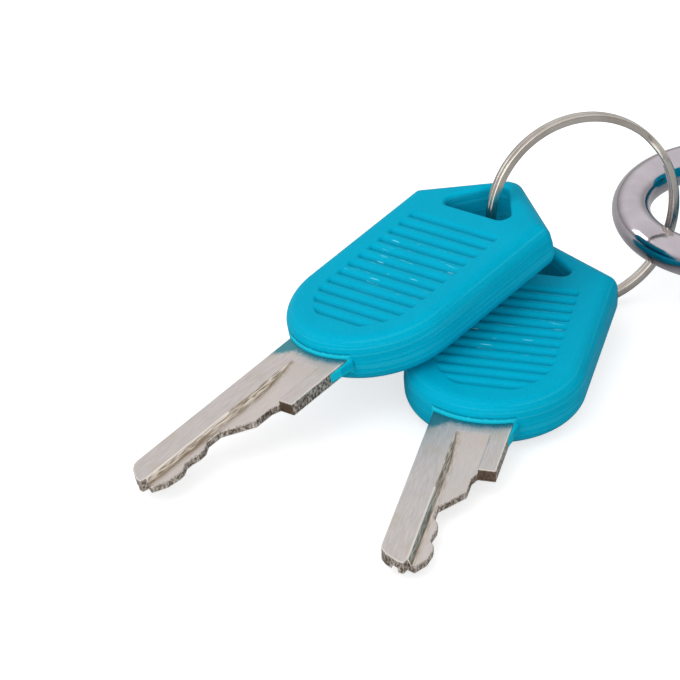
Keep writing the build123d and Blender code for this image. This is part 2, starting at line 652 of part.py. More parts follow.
def blade_plate():
    """The flat outline of the blade, before its grooves."""
    outline = [(-BLADE_ROOT, BLADE_WIDTH), (BLADE_NECK, BLADE_WIDTH)]
    outline += cut_outline()
    outline += [
        (BLADE_LENGTH - NOSE_UPPER_BACK, NOSE_UPPER),
        (BLADE_LENGTH, NOSE_LOWER),
        (BLADE_LENGTH - NOSE_CORNER_BACK, NOSE_CORNER),
        (BLADE_LENGTH - NOSE_CURVE_BACK, NOSE_CURVE),
        (BLADE_LENGTH - NOSE_SPINE_BACK, 0),
        (-BLADE_ROOT, 0),
    ]
    return extrude(make_face(Polyline(*outline, close=True)), BLADE_THICKNESS / 2, both=True)


def key_blade():
    """The stamped and milled metal blade, in the key's own frame."""
    return blade_plate() - band() - back_groove() + tang()


def round_ended(half_width, centre, far):
    """A plan with a round end towards the blade and straight sides back to far."""
    round_end = CenterArc((-centre, HEAD_AXIS), half_width, -90, 180)
    start = (-centre, HEAD_AXIS + half_width)
    finish = (-centre, HEAD_AXIS - half_width)
    return make_face([round_end, *Polyline(start, *far, finish).edges()])


def head_outline():
    """The head's outline on its parting line: a round blade end and a roof-shaped ring end."""
    w = HEAD_HALF_WIDTH
    roof = [
        (-HEAD_SHOULDER, HEAD_AXIS + w),
        (-HEAD_LENGTH, HEAD_AXIS + HEAD_APEX_HALF),
        (-HEAD_LENGTH, HEAD_AXIS - HEAD_APEX_HALF),
        (-HEAD_SHOULDER, HEAD_AXIS - w),
    ]
    face = round_ended(w, HEAD_ROUND_CENTRE, roof)
    corners = [v for v in face.vertices() if v.X < -HEAD_ROUND_CENTRE - HEAD_CORNER]
    return fillet(corners, HEAD_CORNER)


def head_hole():
    """The hole for the ring: a triangle with its tip cut off."""
    outline = Polyline(
        (-HOLE_BASE, HEAD_AXIS - HOLE_HALF_WIDTH),
        (-HOLE_BASE, HEAD_AXIS + HOLE_HALF_WIDTH),
        (-HOLE_APEX, HEAD_AXIS + HOLE_APEX_HALF),
        (-HOLE_APEX, HEAD_AXIS - HOLE_APEX_HALF),
        close=True,
    )
    face = make_face(outline)
    return extrude(fillet(face.vertices(), HOLE_CORNER), HEAD_THICKNESS, both=True)


def head_ribs():
    """What is cut from the front face of the head to leave its ribs.

    The panel's sides follow the head's, and it is round at the blade's end."""
    last = RIB_FIRST + (RIB_VALLEYS - 1) * RIB_PITCH
    back = last + RIB_PITCH / 2
    w = PANEL_HALF_WIDTH
    far = [(-back, HEAD_AXIS + w), (-back, HEAD_AXIS - w)]
    plan = round_ended(w, PANEL_ROUND_CENTRE, far)
    panel = extrude(plan, PAST, both=True)
    valleys = rib_valleys(-last, RIB_PITCH, RIB_VALLEYS, 3 * HEAD_HALF_WIDTH)
    ribs = Compound([panel & valley for valley in valleys])
    return Pos(0, 0, HEAD_THICKNESS / 2) * ribs


def at_faces(shapes):
    """Those of the shapes that lie in the head's front or back face."""
    return [s for s in shapes if abs(abs(s.center().Z) - HEAD_THICKNESS / 2) < 0.01]


def key_head():
    """The moulded grip round the blade's tang, ribbed on both faces, in the key's own frame."""
    half = HEAD_THICKNESS / 2
    outline = head_outline()
    draft = degrees(atan(HEAD_RIM_DRAFT / half))
    grip = extrude(outline, half, taper=draft) + extrude(outline, -half, taper=draft)
    grip = fillet(at_faces(grip.edges()), HEAD_EDGE)
    grip -= head_hole()
    rims = [e for f in at_faces(grip.faces()) for w in f.inner_wires() for e in w.edges()]
    grip = chamfer(rims, HOLE_EDGE)
    ribs = head_ribs()
    return grip - ribs - mirror(ribs, Plane.XY) - blade_plate() - tang()


def ring_frame():
    """Where the ring stands: on the table, leaning, with the shackle's bar inside it."""
    hang = radians(RING_HANG_ANGLE)
    bar = Vector(BOW_X + LEG_Y * cos(hang), LEG_Y * sin(hang), MID)
    tilt = radians(RING_TILT)
    outer = RING_MEAN_R + RING_WIRE / 2
    half = RING_STEP + RING_TURN / 2
    height = TABLE_GAP + outer * sin(tilt) + half * cos(tilt)
    reach = RING_MEAN_R - RING_WIRE / 2 - RING_HANG_GAP - BAR_D / 2
    below = asin((MID - height) / (reach * sin(tilt)))
    turn = Rot(Z=RING_YAW) * Rot(X=RING_TILT)
    offset = (turn * Pos(reach * cos(below), reach * sin(below), 0)).position
    return Pos(bar - offset) * turn


def key_ring():
    """Two turns of flat wire, joined where the wire crosses from the front to the back."""
    section = Pos(RING_MEAN_R, 0, 0) * Rot(X=90) * Rectangle(RING_WIRE, RING_TURN)
    around = 360 - RING_CROSS_ANGLE
    turns = [
        revolve(Rot(Z=RING_CROSS_AT) * Pos(0, 0, z) * section, Axis.Z, around)
        for z in (RING_STEP, -RING_STEP)
    ]
    cross = []
    for i in range(RING_CROSS_STEPS + 1):
        share = i / RING_CROSS_STEPS
        rise = RING_STEP * cos(pi * share)
        angle = RING_CROSS_AT - RING_CROSS_ANGLE * (1 - share)
        cross.append(Rot(Z=angle) * Pos(0, 0, rise) * section)
    return ring_frame() * (turns[0] + turns[1] + loft(cross, ruled=True))


def ring_point_at(height):
    """The point of the ring's mean circle at a height, on the side away from the shackle."""
    frame = ring_frame()
    drop = (height - frame.position.Z) / (RING_MEAN_R * sin(radians(RING_TILT)))
    along = -sqrt(1 - drop**2)
    return (frame * Pos(RING_MEAN_R * along, RING_MEAN_R * drop, 0)).position


def key_frame(turn, from_apex, aside, height):
    """Places a key so that the ring passes through the given point of its hole."""
    yaw, pitch, roll = turn
    turned = Rot(Z=yaw) * Rot(Y=pitch) * Rot(X=roll)
    in_hole = Pos(from_apex - HOLE_APEX, HEAD_AXIS + aside, 0)
    return Pos(ring_point_at(height) - (turned * in_hole).position) * turned


def key_frames():
    """Key 2 lies on the table and key 1 on top of it."""
    low = HEAD_THICKNESS / 2 + KEY_2_RISE
    high = low + HEAD_THICKNESS + KEY_STACK_GAP
    return (
        key_frame(KEY_1_TURN, KEY_1_FROM_APEX, KEY_1_ASIDE, high),
        key_frame(KEY_2_TURN, KEY_2_FROM_APEX, KEY_2_ASIDE, low),
    )


def all_parts():
    """Every node by its name."""
    parts = {"back_cover": back_cover(), "front_cover": front_cover()}
    parts["case_back_half"], parts["case_front_half"] = case_halves()
    parts["case_rivets"] = Compound([rivet(x, y) for x, y in rivet_places()])
    parts["shackle"] = shackle()
    parts["shackle_spring"] = shackle_spring()
    parts["shackle_pin"] = shackle_pin()
    parts["plug"] = plug()
    for i in range(len(CUTS)):
        parts[f"key_pin_{i + 1}"] = key_pin(i)
        parts[f"driver_pin_{i + 1}"] = driver_pin(i)
        parts[f"driver_spring_{i + 1}"] = driver_spring(i)
    parts["toe_latch"] = toe_latch()
    parts["heel_latch"] = turned_over(toe_latch())
    parts["latch_spring_1"] = latch_spring()
    parts["latch_spring_2"] = turned_over(latch_spring())
    parts["key_ring"] = key_ring()
    blade = key_blade()
    head = key_head()
    for i, frame in enumerate(key_frames()):
        parts[f"key_{i + 1}_blade"] = frame * blade
        parts[f"key_{i + 1}_head"] = frame * head
    return parts


os.makedirs("parts", exist_ok=True)
for name, shape in all_parts().items():
    export_step(shape, f"parts/{name}.step")
print("ring centre", ring_frame().position, "axis", Plane(ring_frame()).z_dir)
for i, place in enumerate(key_frames()):
    print(f"key {i + 1} origin", place.position)
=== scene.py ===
from math import cos, pi, radians, sin, sqrt, tau

import bpy
import numpy as np
from mathutils import Matrix, Vector

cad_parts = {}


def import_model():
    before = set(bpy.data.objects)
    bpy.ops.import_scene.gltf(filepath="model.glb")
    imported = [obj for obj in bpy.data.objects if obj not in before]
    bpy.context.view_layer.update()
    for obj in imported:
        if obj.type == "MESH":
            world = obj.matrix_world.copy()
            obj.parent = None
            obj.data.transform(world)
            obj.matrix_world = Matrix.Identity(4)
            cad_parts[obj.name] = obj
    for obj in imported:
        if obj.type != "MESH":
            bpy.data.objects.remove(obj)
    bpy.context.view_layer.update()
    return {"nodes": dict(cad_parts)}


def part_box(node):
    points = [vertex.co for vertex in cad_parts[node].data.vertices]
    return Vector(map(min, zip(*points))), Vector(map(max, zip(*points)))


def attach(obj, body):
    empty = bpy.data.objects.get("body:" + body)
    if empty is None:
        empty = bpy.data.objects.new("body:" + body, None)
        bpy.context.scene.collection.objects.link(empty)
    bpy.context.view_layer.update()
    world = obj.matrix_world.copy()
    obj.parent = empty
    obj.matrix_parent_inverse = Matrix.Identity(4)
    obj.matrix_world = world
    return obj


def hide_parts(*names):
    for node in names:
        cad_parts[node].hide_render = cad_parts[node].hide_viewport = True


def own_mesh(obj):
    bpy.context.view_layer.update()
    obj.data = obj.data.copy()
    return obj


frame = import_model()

MM = 0.001
NODES = frame["nodes"]

# The photograph's view: a long lens over the keys, looking along +Y and down
VIEW_TARGET = Vector((-68.2, -13.41, 0.0)) * MM
VIEW_ELEVATION = radians(31.33)
VIEW_DISTANCE = 563.0 * MM
VIEW_FOCAL = 5500.6 / 680  # focal length over the picture's width
VIEW_REACH = 10.0  # metres
SENSOR = 36.0
WORLD_LIGHT = 0.6
HORIZON_LIGHT = 0.3  # what metal sees at the horizon
HORIZON = (-0.1, 0.5)  # the room brightens between these slopes
TABLE_HALF = 2.0  # metres
TABLE_GREY = 0.55
TABLE_GLOW = 0.67  # what the table adds to its own colour for the camera

# Sizes in millimetres and angles in degrees. They are the part's, apart from small roundings,
# the ribs' depth, the head's rim and the plastic round the blade
FAR = 1.0  # stands in for a distance where a shape isn't
PULLS = 5  # times that each point is drawn onto its surface

# Key head, in the key's own frame: the blade points along +X with its spine at Y 0, and the
# faces look along Z
HEAD_HALF = 2.5
HEAD_FACE_FROM = 0.98 * HEAD_HALF  # what is higher belongs to a flat face
HEAD_HALF_WIDTH = 9.24
HEAD_LENGTH = 30.36
HEAD_DRAFT = 0.12
HEAD_AXIS = 4.57
HEAD_ROUND_CENTRE = 7.75
HEAD_SHOULDER = 24.8
HEAD_APEX_HALF = 0.63
HEAD_CORNER = 1.2
HEAD_EDGE = 1.55  # a soft round rim
HOLE_BASE = 23.3
HOLE_APEX = 28.3
HOLE_HALF_WIDTH = 5.45
HOLE_APEX_HALF = 0.7
HOLE_CORNER = 0.9
HOLE_RIM = 0.4
HEAD_CELL = 0.4 / 3  # twelve cells to a rib, so that each valley lies on a row of points
MARGIN_CELLS = 3  # empty cells round a shape in its grid

# Ridge of plastic round the blade, painted brighter as a highlight, and the painted shade line at its foot
LIP_OUT = 0.18
LIP_HALF = 0.98
LIP_WIDTH = 8.5
LIP_START = -2.0
LIP_SEEN_FROM = -1.0
LIP_ROUND = 0.1
LIP_REACH = 0.1
LIP_FOOT = 0.15

# Thin wedge of plastic along the blade's cut side
FLASH_START = 0.6
FLASH_LENGTH = 3.0
FLASH_THICK = 0.6
FLASH_HALF = 0.5
FLASH_ROOT = 0.3  # how far it reaches into the blade

# Ribs pressed into a grip's faces
RIB_PITCH = 1.6
RIB_DEPTH = 0.38
RIB_FIRST = 2.7
RIB_COUNT = 12
PANEL_HALF_WIDTH = 5.94
PANEL_ROUND_CENTRE = 7.44
RIB_RUN_OUT = 0.1
ROW_SLACK = 0.1  # of a rib, so that rounding doesn't drop the last one

# Key blade, in the same frame
BLADE_HALF = 0.7
BLADE_WIDTH = 8.2
BLADE_ROOT = 1.5  # how far the piece reaches into the head
BLADE_LENGTH = 25.8
BLADE_STEP = 9.3  # the full width ends here
BLADE_EDGE = 0.09
BLADE_CELL = 0.08
BLADE_ROOM = 0.3  # empty space round the blade in its grid
BAND_TOP = 6.4
BAND_SIDE = 3.0
BAND_FLANK = 0.4
BAND_DEPTH = 0.6
FLANK_LEAN = 0.83  # cosine of the flank's lean
BAND_EDGE_FROM = 13.0  # from here on the milled band's edge gets a painted highlight
BLADE_OUTLINE = [
    (-BLADE_ROOT, 0.0), (-BLADE_ROOT, BLADE_WIDTH), (BLADE_STEP, BLADE_WIDTH), (BLADE_STEP, BAND_TOP),
    (10.2, 6.0), (12.45, 6.0), (15.4, 3.8), (17.2, 3.8), (18.25, 4.42), (19.1, 4.5), (20.2, 4.3),
    (20.95, 4.3), (21.8, 4.8), (22.6, 4.87), (24.1, 4.62), (25.5, 3.72), (25.1, 2.95),
    (BLADE_LENGTH, 2.72), (25.62, 2.1), (25.15, 1.4), (24.6, 0.65), (23.9, 0.12), (23.3, 0.0),
]
GROOVE_SIDE = 1.4
GROOVE_WIDTH = 0.7
GROOVE_DEPTH = 0.5
MILLING_START = 3.4
MILLING_R = 30.0

# How near a point of the blade lies to a surface that it is marked as part of
WALL_REACH = 0.06
BAND_REACH = 0.05
FLOOR_REACH = 0.04
FLANK_REACH = 0.1

# Cover of the lock
BODY_HALF = 17.0
BODY_CORNER = 5.5
COVER_WALL = 1.4
COVER_EDGE = 1.2
COVER_LIP = 1.0
COVER_LIP_GAP = 0.05
COVER_INNER_ROUND = 0.2
SEAM_ROUND = 0.22
TONGUE_ROUND = 0.1
TONGUE_ROOM_ROUND = 0.05
TONGUE_ROOT = 1.0  # how far the tongue reaches down into its own half
OPENING_RIM = 0.3
LEG_OPENING_R = 2.33
PLUG_OPENING_R = 4.75
COVER_RIB_PITCH = 1.9
COVER_RIB_COUNT = 10
COVER_RIB_FIRST = -8.55
COVER_PANEL = (9.5, 10.0)
COVER_PANEL_CORNER = 4.0
COVER_CELL = COVER_RIB_PITCH / 8
COVER_FACE_REACH = 0.05

# Yaw, pitch and roll in degrees, and the origin, of each key
KEY_POSES = {
    "key_1": ((-131.3, 9.42, 7.9), (-72.7578, -23.2185, 5.82657)),
    "key_2": ((-103.4, 2.91, 0.57), (-58.8313, -32.2216, 2.8639)),
}

# Split ring: two turns of flat wire
RING_CENTRE = (-43.2794, -5.45936, 10.6653)
RING_YAW = 19.6
RING_TILT = 79.5
RING_R = 10.1
RING_WIRE = 0.8
RING_TURN = 0.58
RING_STEP = 0.32
RING_CROSS_AT = 45.0
RING_CROSS_ANGLE = 25.0
RING_CORNER = 0.14
RING_CORNER_POINTS = 4
RING_POINTS = 481

# Springs: the axis that each lies along, its wire and its turns
SPRINGS = {
    "shackle_spring": (0, 0.5, 9), "latch_spring_1": (1, 0.25, 5), "latch_spring_2": (1, 0.25, 5),
    "driver_spring_1": (1, 0.3, 8), "driver_spring_2": (1, 0.3, 8), "driver_spring_3": (1, 0.3, 8),
}
SPRING_FLAT_TURN = 0.6
SPRING_TURN_POINTS = 20
SPRING_WIRE_SIDES = 8

# Shackle
BAR_R = 2.0
LEG_Y = 11.0
BOW_X = -27.0
MID = 7.5
TOE_END = -5.0
HEEL_END = 1.9
LEG_CHAMFER = 0.7
NOTCH = (-12.25, -7.75)
NOTCH_FLOOR = 10.5
FLAT = (-14.4, 0.1)
FLAT_Y = 12.22
NECK_FRONT = -1.8
SHACKLE_EDGE = 0.1
SHACKLE_CELL = 0.16
SHACKLE_ROOM = 0.5  # empty space round the bar in its grid


def linear(hex_colour):
    """The linear colour of an sRGB hex value."""
    parts = [int(hex_colour[i : i + 2], 16) / 255 for i in (1, 3, 5)]
    return [p / 12.92 if p <= 0.04045 else ((p + 0.055) / 1.055) ** 2.4 for p in parts] + [1.0]


# Each kind of node, and the setting that says what it does
KINDS = {
    "math": ("ShaderNodeMath", "operation"),
    "vector": ("ShaderNodeVectorMath", "operation"),
    "range": ("ShaderNodeMapRange", "interpolation_type"),
    "mix": ("ShaderNodeMix", "data_type"),
    "noise": ("ShaderNodeTexNoise", "noise_dimensions"),
    "stored": ("ShaderNodeAttribute", "attribute_name"),
    "coordinates": ("ShaderNodeTexCoord", None),
    "axes": ("ShaderNodeSeparateXYZ", None),
    "point": ("ShaderNodeCombineXYZ", None),
    "bump": ("ShaderNodeBump", None),
    "rays": ("ShaderNodeLightPath", None),
    "given": ("NodeGroupInput", None),
    "made": ("NodeGroupOutput", None),
    "position": ("GeometryNodeInputPosition", None),
    "index": ("GeometryNodeInputIndex", None),
    "kept": ("GeometryNodeInputNamedAttribute", "data_type"),
    "keep": ("GeometryNodeStoreNamedAttribute", "data_type"),
    "move": ("GeometryNodeSetPosition", None),
    "realize": ("GeometryNodeRealizeInstances", None),
    "dress": ("GeometryNodeSetMaterial", None),
    "line": ("GeometryNodeMeshLine", None),
    "path": ("GeometryNodeMeshToCurve", None),
    "upright": ("GeometryNodeSetCurveNormal", "mode"),
    "oblong": ("GeometryNodeCurvePrimitiveQuadrilateral", None),
    "circle": ("GeometryNodeCurvePrimitiveCircle", None),
    "round off": ("GeometryNodeFilletCurve", "mode"),
    "sweep": ("GeometryNodeCurveToMesh", None),
    "smooth": ("GeometryNodeSetShadeSmooth", None),
}


def first_output(node):
    """The output that a node's name alone stands for."""
    return next(output for output in node.outputs if output.enabled)


def add(tree, known, name, kind, setting=None, *inputs):
    """Adds a node under a name, with its setting and its inputs, in order or by their names.

    An input is a value, a colour in hex, or an earlier node's name, with a dot before one of its
    outputs where it isn't the first that is meant."""
    identifier, property_name = KINDS[kind]
    node = tree.nodes.new(identifier)
    if setting:
        setattr(node, property_name, setting)
    if inputs and isinstance(inputs[0], dict):
        pairs = [(node.inputs[key], value) for key, value in inputs[0].items()]
    else:
        pairs = zip([socket for socket in node.inputs if socket.enabled], inputs)
    for socket, value in pairs:
        if isinstance(value, str) and value.startswith("#"):
            socket.default_value = linear(value)
        elif isinstance(value, str) and socket.type != "STRING":
            source, _, output = value.partition(".")
            known_node = known[source]
            tree.links.new(known_node.outputs[output] if output else first_output(known_node), socket)
        elif value is not None:
            socket.default_value = value
    known[name] = node


def lay(tree, rows):
    """Adds a node for each row, and returns them by name."""
    known = {}
    for row in rows:
        add(tree, known, *row)
    return known


def both(a, b, radius):
    """Distance to what two shapes share, with their common edge rounded."""
    corner = np.hypot(np.maximum(a + radius, 0), np.maximum(b + radius, 0)) - radius
    return corner + np.minimum(np.maximum(a, b) + radius, 0)


def polygon(x, y, points):
    """Distance to a flat polygon, negative inside."""
    best = np.full(np.broadcast(x, y).shape, np.inf)
    side = np.ones_like(best)
    for (x0, y0), (x1, y1) in zip(points, points[1:] + points[:1]):
        ex, ey = x1 - x0, y1 - y0
        wx, wy = x - x0, y - y0
        along = np.clip((wx * ex + wy * ey) / (ex * ex + ey * ey), 0, 1)
        best = np.minimum(best, (wx - along * ex) ** 2 + (wy - along * ey) ** 2)
        above, below, left = y >= y0, y < y1, ex * wy > ey * wx
        side = np.where((above & below & left) | ~(above | below | left), -side, side)
    return side * np.sqrt(best)


def drawn_in(points, radius):
    """A convex polygon, given anticlockwise, with each side moved inwards."""
    moved = []
    for (x0, y0), (x1, y1), (x2, y2) in zip(points[-1:] + points[:-1], points, points[1:] + points[:1]):
        before, after = Vector((x1 - x0, y1 - y0)).normalized(), Vector((x2 - x1, y2 - y1)).normalized()
        inward = Vector((-before.y - after.y, before.x + after.x))
        inward *= 2 * radius / inward.length_squared
        moved.append((x1 + inward.x, y1 + inward.y))
    return moved


def soft_polygon(x, y, points, radius):
    """Distance to a convex polygon with rounded corners."""
    return polygon(x, y, drawn_in(points, radius)) - radius


def crossings(value, axis, cells):
    """Where the surface crosses the grid's lines along an axis, and how far along each."""
    start = value.take(range(cells[axis]), axis)
    end = value.take(range(1, cells[axis] + 1), axis)
    crossed = (start < 0) != (end < 0)
    share = np.where(crossed, start / np.where(crossed, start - end, 1), 0)
    return crossed, share, start < 0


def skin(distance, low, high, step):
    """Points and quads of the closed surface where a distance in space is 0.

    Each cell of a grid that the surface crosses gets one point, which is then drawn onto it."""
    axes = [a + step * np.arange(int((b - a) / step) + 2) for a, b in zip(low, high)]
    value = distance(*np.meshgrid(*axes, indexing="ij", sparse=True))
    cells = [n - 1 for n in value.shape]
    total = np.zeros(cells + [3])
    count = np.zeros(cells)
    found = [crossings(value, axis, cells) for axis in range(3)]
    for axis, (crossed, share, _) in enumerate(found):
        u, v = (axis + 1) % 3, (axis + 2) % 3
        for du, dv in ((0, 0), (0, 1), (1, 0), (1, 1)):
            part = [slice(None)] * 3
            part[u], part[v] = slice(du, du + cells[u]), slice(dv, dv + cells[v])
            here = crossed[tuple(part)]
            total[..., axis] += share[tuple(part)]
            total[..., u] += du * here
            total[..., v] += dv * here
            count += here
    used = np.nonzero(count)
    number = np.full(cells, -1)
    number[used] = np.arange(len(used[0]))
    points = (np.stack(used, 1) + total[used] / count[used][:, None]) * step + np.array(low)
    quads = []
    for axis, (crossed, _, inside) in enumerate(found):
        at = np.stack(np.nonzero(crossed), 1)
        out = inside[crossed]
        u, v = np.eye(3, dtype=int)[[(axis + 1) % 3, (axis + 2) % 3]]
        ring = [number[tuple((at - move).T)] for move in (u + v, v, 0 * u, u)]
        quad = np.stack(ring, 1)
        quads.append(np.where(out[:, None], quad, quad[:, ::-1]))
    return onto(distance, points, step), np.concatenate(quads)


def onto(distance, points, step):
    """Draws points onto the surface along its slope."""
    reach = 0.2 * step
    least = 0.25  # of the slope's square, so that a point in a crease doesn't fly off
    for _ in range(PULLS):
        off = distance(*points.T)
        slope = [
            (distance(*(points + reach * side).T) - distance(*(points - reach * side).T)) / (2 * reach)
            for side in np.eye(3)
        ]
        slope = np.stack(slope, 1)
        size = np.maximum((slope**2).sum(1), least)
        move = np.clip(off / size, -step, step)[:, None] * slope
        points = points - move
    return points


def mesh_from(name, points, quads):
    """A smooth shaded mesh from points in millimetres."""
    mesh = bpy.data.meshes.new(name)
    mesh.vertices.add(len(points))
    mesh.vertices.foreach_set("co", (points * MM).astype(np.float32).ravel())
    mesh.loops.add(quads.size)
    mesh.loops.foreach_set("vertex_index", quads.ravel().astype(np.int32))
    mesh.polygons.add(len(quads))
    mesh.polygons.foreach_set("loop_start", np.arange(0, quads.size, 4, dtype=np.int32))
    mesh.polygons.foreach_set("use_smooth", np.ones(len(quads), bool))
    mesh.update(calc_edges=True)
    mesh.validate()
    return mesh


def piece(name, mesh, body, nodes, material):
    """Puts a finished mesh into the scene in place of its CAD nodes."""
    item = bpy.data.objects.new(name, mesh)
    bpy.context.scene.collection.objects.link(item)
    mesh.materials.clear()
    mesh.materials.append(material)
    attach(item, body)
    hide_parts(*nodes)
    return item


def pose(turn, place):
    """The place of a piece that was made in its own frame, in millimetres, as a matrix in metres."""
    yaw, pitch, roll = (radians(a) for a in turn)
    turned = Matrix.Rotation(yaw, 4, "Z") @ Matrix.Rotation(pitch, 4, "Y") @ Matrix.Rotation(roll, 4, "X")
    return Matrix.Translation(Vector(place) * MM) @ turned


def keep_own_frame(mesh):
    """Keeps each point's place in the piece's own frame, in millimetres, for its material."""
    own = mesh.attributes.new("own_frame", "FLOAT_VECTOR", "POINT")
    places = np.empty(3 * len(mesh.vertices), np.float32)
    mesh.vertices.foreach_get("co", places)
    own.data.foreach_set("vector", places / MM)


def on_rows(low, first, cell):
    """A grid's start at or below a given one, so that the first valley lies on a row of points."""
    return first - (np.ceil((first - low) / cell) + 0.5) * cell


def rounded_oblong(x, y, halves, corner):
    """Distance to an upright block's plan with rounded corners."""
    past = [np.abs(place) - half + corner for place, half in zip((x, y), halves)]
    outside = np.hypot(np.maximum(past[0], 0), np.maximum(past[1], 0))
    return outside + np.minimum(np.maximum(*past), 0) - corner


def cover_shell(x, y, z):
    """The whole cover as one closed shell, with openings for the legs and the plug."""
    plan = rounded_oblong(x, y, (BODY_HALF, BODY_HALF), BODY_CORNER)
    faces = np.abs(z - MID) - MID
    inside = np.maximum(cavity_plan(x, y), faces + COVER_WALL)
    shell = both(both(plan, faces, COVER_EDGE), -inside, COVER_INNER_ROUND)
    leg = np.where(x < 0, np.hypot(np.abs(y) - LEG_Y, z - MID) - LEG_OPENING_R, FAR)
    plug = np.where(x > 0, np.hypot(y, z - MID) - PLUG_OPENING_R, FAR)
    return both(both(shell, -leg, OPENING_RIM), -plug, OPENING_RIM)


def cavity_plan(x, y):
    """Distance to the plan of the room inside the cover."""
    halves = (BODY_HALF - COVER_WALL, BODY_HALF - COVER_WALL)
    return rounded_oblong(x, y, halves, BODY_CORNER - COVER_WALL)


def tongue_plan(x, y, gap):
    """Distance to the outside of the back cover's tongue, moved out by a gap."""
    inset = COVER_WALL / 2 - gap
    return rounded_oblong(x, y, (BODY_HALF - inset, BODY_HALF - inset), BODY_CORNER - inset)


def back_cover_distance(x, y, z):
    """The back half: the shell up to the seam, and its tongue past it."""
    shell = cover_shell(x, y, z)
    half = both(shell, z - MID, SEAM_ROUND)
    tongue = both(np.maximum(tongue_plan(x, y, 0), shell), z - MID - COVER_LIP, TONGUE_ROUND)
    return np.minimum(half, np.maximum(tongue, MID - TONGUE_ROOT - z))


def front_cover_distance(x, y, z):
    """The front half: the shell from the seam on, less the room for the tongue."""
    half = both(cover_shell(x, y, z), MID - z, SEAM_ROUND)
    room = np.maximum(tongue_plan(x, y, COVER_LIP_GAP), z - MID - COVER_LIP - COVER_LIP_GAP)
    return both(half, -room, TONGUE_ROOM_ROUND)


def round_end(x, y):
    """Distance to the round end of a head's plan, where the blade comes out."""
    return np.hypot(x + HEAD_ROUND_CENTRE, y - HEAD_AXIS) - HEAD_HALF_WIDTH


def head_distance(x, y, z):
    """A key's grip: round at the blade, like a roof at the ring, with drafted sides and a hole."""
    low, high = HEAD_AXIS - HEAD_HALF_WIDTH, HEAD_AXIS + HEAD_HALF_WIDTH
    blunt_end = HEAD_CORNER / 2 - HEAD_ROUND_CENTRE
    plan = [
        (blunt_end, low), (blunt_end, high), (-HEAD_SHOULDER, high),
        (-HEAD_LENGTH, HEAD_AXIS + HEAD_APEX_HALF), (-HEAD_LENGTH, HEAD_AXIS - HEAD_APEX_HALF),
        (-HEAD_SHOULDER, low),
    ]
    outline = np.minimum(round_end(x, y), soft_polygon(x, y, plan, HEAD_CORNER))
    side = outline + HEAD_DRAFT * np.abs(z) / HEAD_HALF
    body = both(side, np.abs(z) - HEAD_HALF, HEAD_EDGE)
    hole = [
        (-HOLE_BASE, HEAD_AXIS - HOLE_HALF_WIDTH), (-HOLE_BASE, HEAD_AXIS + HOLE_HALF_WIDTH),
        (-HOLE_APEX, HEAD_AXIS + HOLE_APEX_HALF), (-HOLE_APEX, HEAD_AXIS - HOLE_APEX_HALF),
    ]
    body = both(body, -soft_polygon(x, y, hole, HOLE_CORNER), HOLE_RIM)
    beside = np.maximum(np.abs(z) - LIP_HALF, np.abs(y - BLADE_WIDTH / 2) - LIP_WIDTH / 2)
    lip = both(side - LIP_OUT, np.maximum(beside, LIP_START - x), LIP_ROUND)
    past = x - FLASH_START
    thin = BLADE_WIDTH + FLASH_THICK * (1 - past / FLASH_LENGTH)
    flash = np.maximum(np.maximum(y - thin, BLADE_WIDTH - FLASH_ROOT - y), np.abs(z) - FLASH_HALF)
    flash = np.maximum(flash, np.abs(past - FLASH_LENGTH / 2) - FLASH_LENGTH / 2)
    return np.minimum(np.minimum(body, lip), flash)


def floor_height(x, depth):
    """Height of the floor that a disc cutter leaves under a face, where it has come in fully."""
    full = MILLING_START + sqrt(MILLING_R**2 - (MILLING_R - depth) ** 2)
    back = np.minimum(x - full, 0)
    return BLADE_HALF - depth + MILLING_R - np.sqrt(MILLING_R**2 - np.maximum(back, -MILLING_R / 2) ** 2)


def flank_side(z):
    """Where the leaning flank of the milled band lies across the blade, by height."""
    return BAND_SIDE + BAND_FLANK * (BLADE_HALF - z) / BAND_DEPTH


def blade_shapes(x, y, z):
    """A key blade's cut outline and its faces, and what the two cutters took, as distances."""
    outline = polygon(x, y, BLADE_OUTLINE)
    faces = np.abs(z) - BLADE_HALF
    flank = flank_side(z) - y
    band = np.maximum(floor_height(x, BAND_DEPTH) - z, np.maximum(FLANK_LEAN * flank, y - BAND_TOP))
    middle = GROOVE_SIDE + GROOVE_WIDTH / 2
    groove = np.maximum(floor_height(x, GROOVE_DEPTH) + z, np.abs(y - middle) - GROOVE_WIDTH / 2)
    return outline, faces, band, groove


def blade_distance(x, y, z):
    """A stamped, milled and cut key blade."""
    outline, faces, band, groove = blade_shapes(x, y, z)
    plate = both(outline, faces, BLADE_EDGE)
    return both(both(plate, -band, BLADE_EDGE / 2), -groove, BLADE_EDGE / 2)


def shackle_distance(x, y, z):
    """The bent bar, with the latches' notches and the heel leg's flat and neck."""
    bow = np.hypot(np.hypot(x - BOW_X, y) - LEG_Y, z - MID)
    leg = np.hypot(np.abs(y) - LEG_Y, z - MID)
    across = np.where(x < BOW_X, bow, leg)
    end = x - np.where(y > 0, HEEL_END, TOE_END)
    chamfer = (end + across - BAR_R + LEG_CHAMFER) / sqrt(2)
    bar = both(both(across - BAR_R, end, SHACKLE_EDGE), chamfer, SHACKLE_EDGE)
    notch = np.maximum(np.maximum(NOTCH[0] - x, x - NOTCH[1]), np.abs(y) - NOTCH_FLOOR)
    flat = np.maximum(np.maximum(FLAT[0] - x, x - FLAT[1]), FLAT_Y - y)
    neck = np.maximum(np.maximum(NECK_FRONT - x, x - FLAT[1]), np.maximum(FLAT_Y - LEG_Y - leg, -y))
    for cut in (notch, flat, neck):
        bar = both(bar, -cut, SHACKLE_EDGE)
    return bar


def crease_distance(shapes):
    """How far a point of a surface is from the nearest edge between two of its shapes."""
    return np.sort(np.abs(np.stack(np.broadcast_arrays(*shapes))), 0)[1]


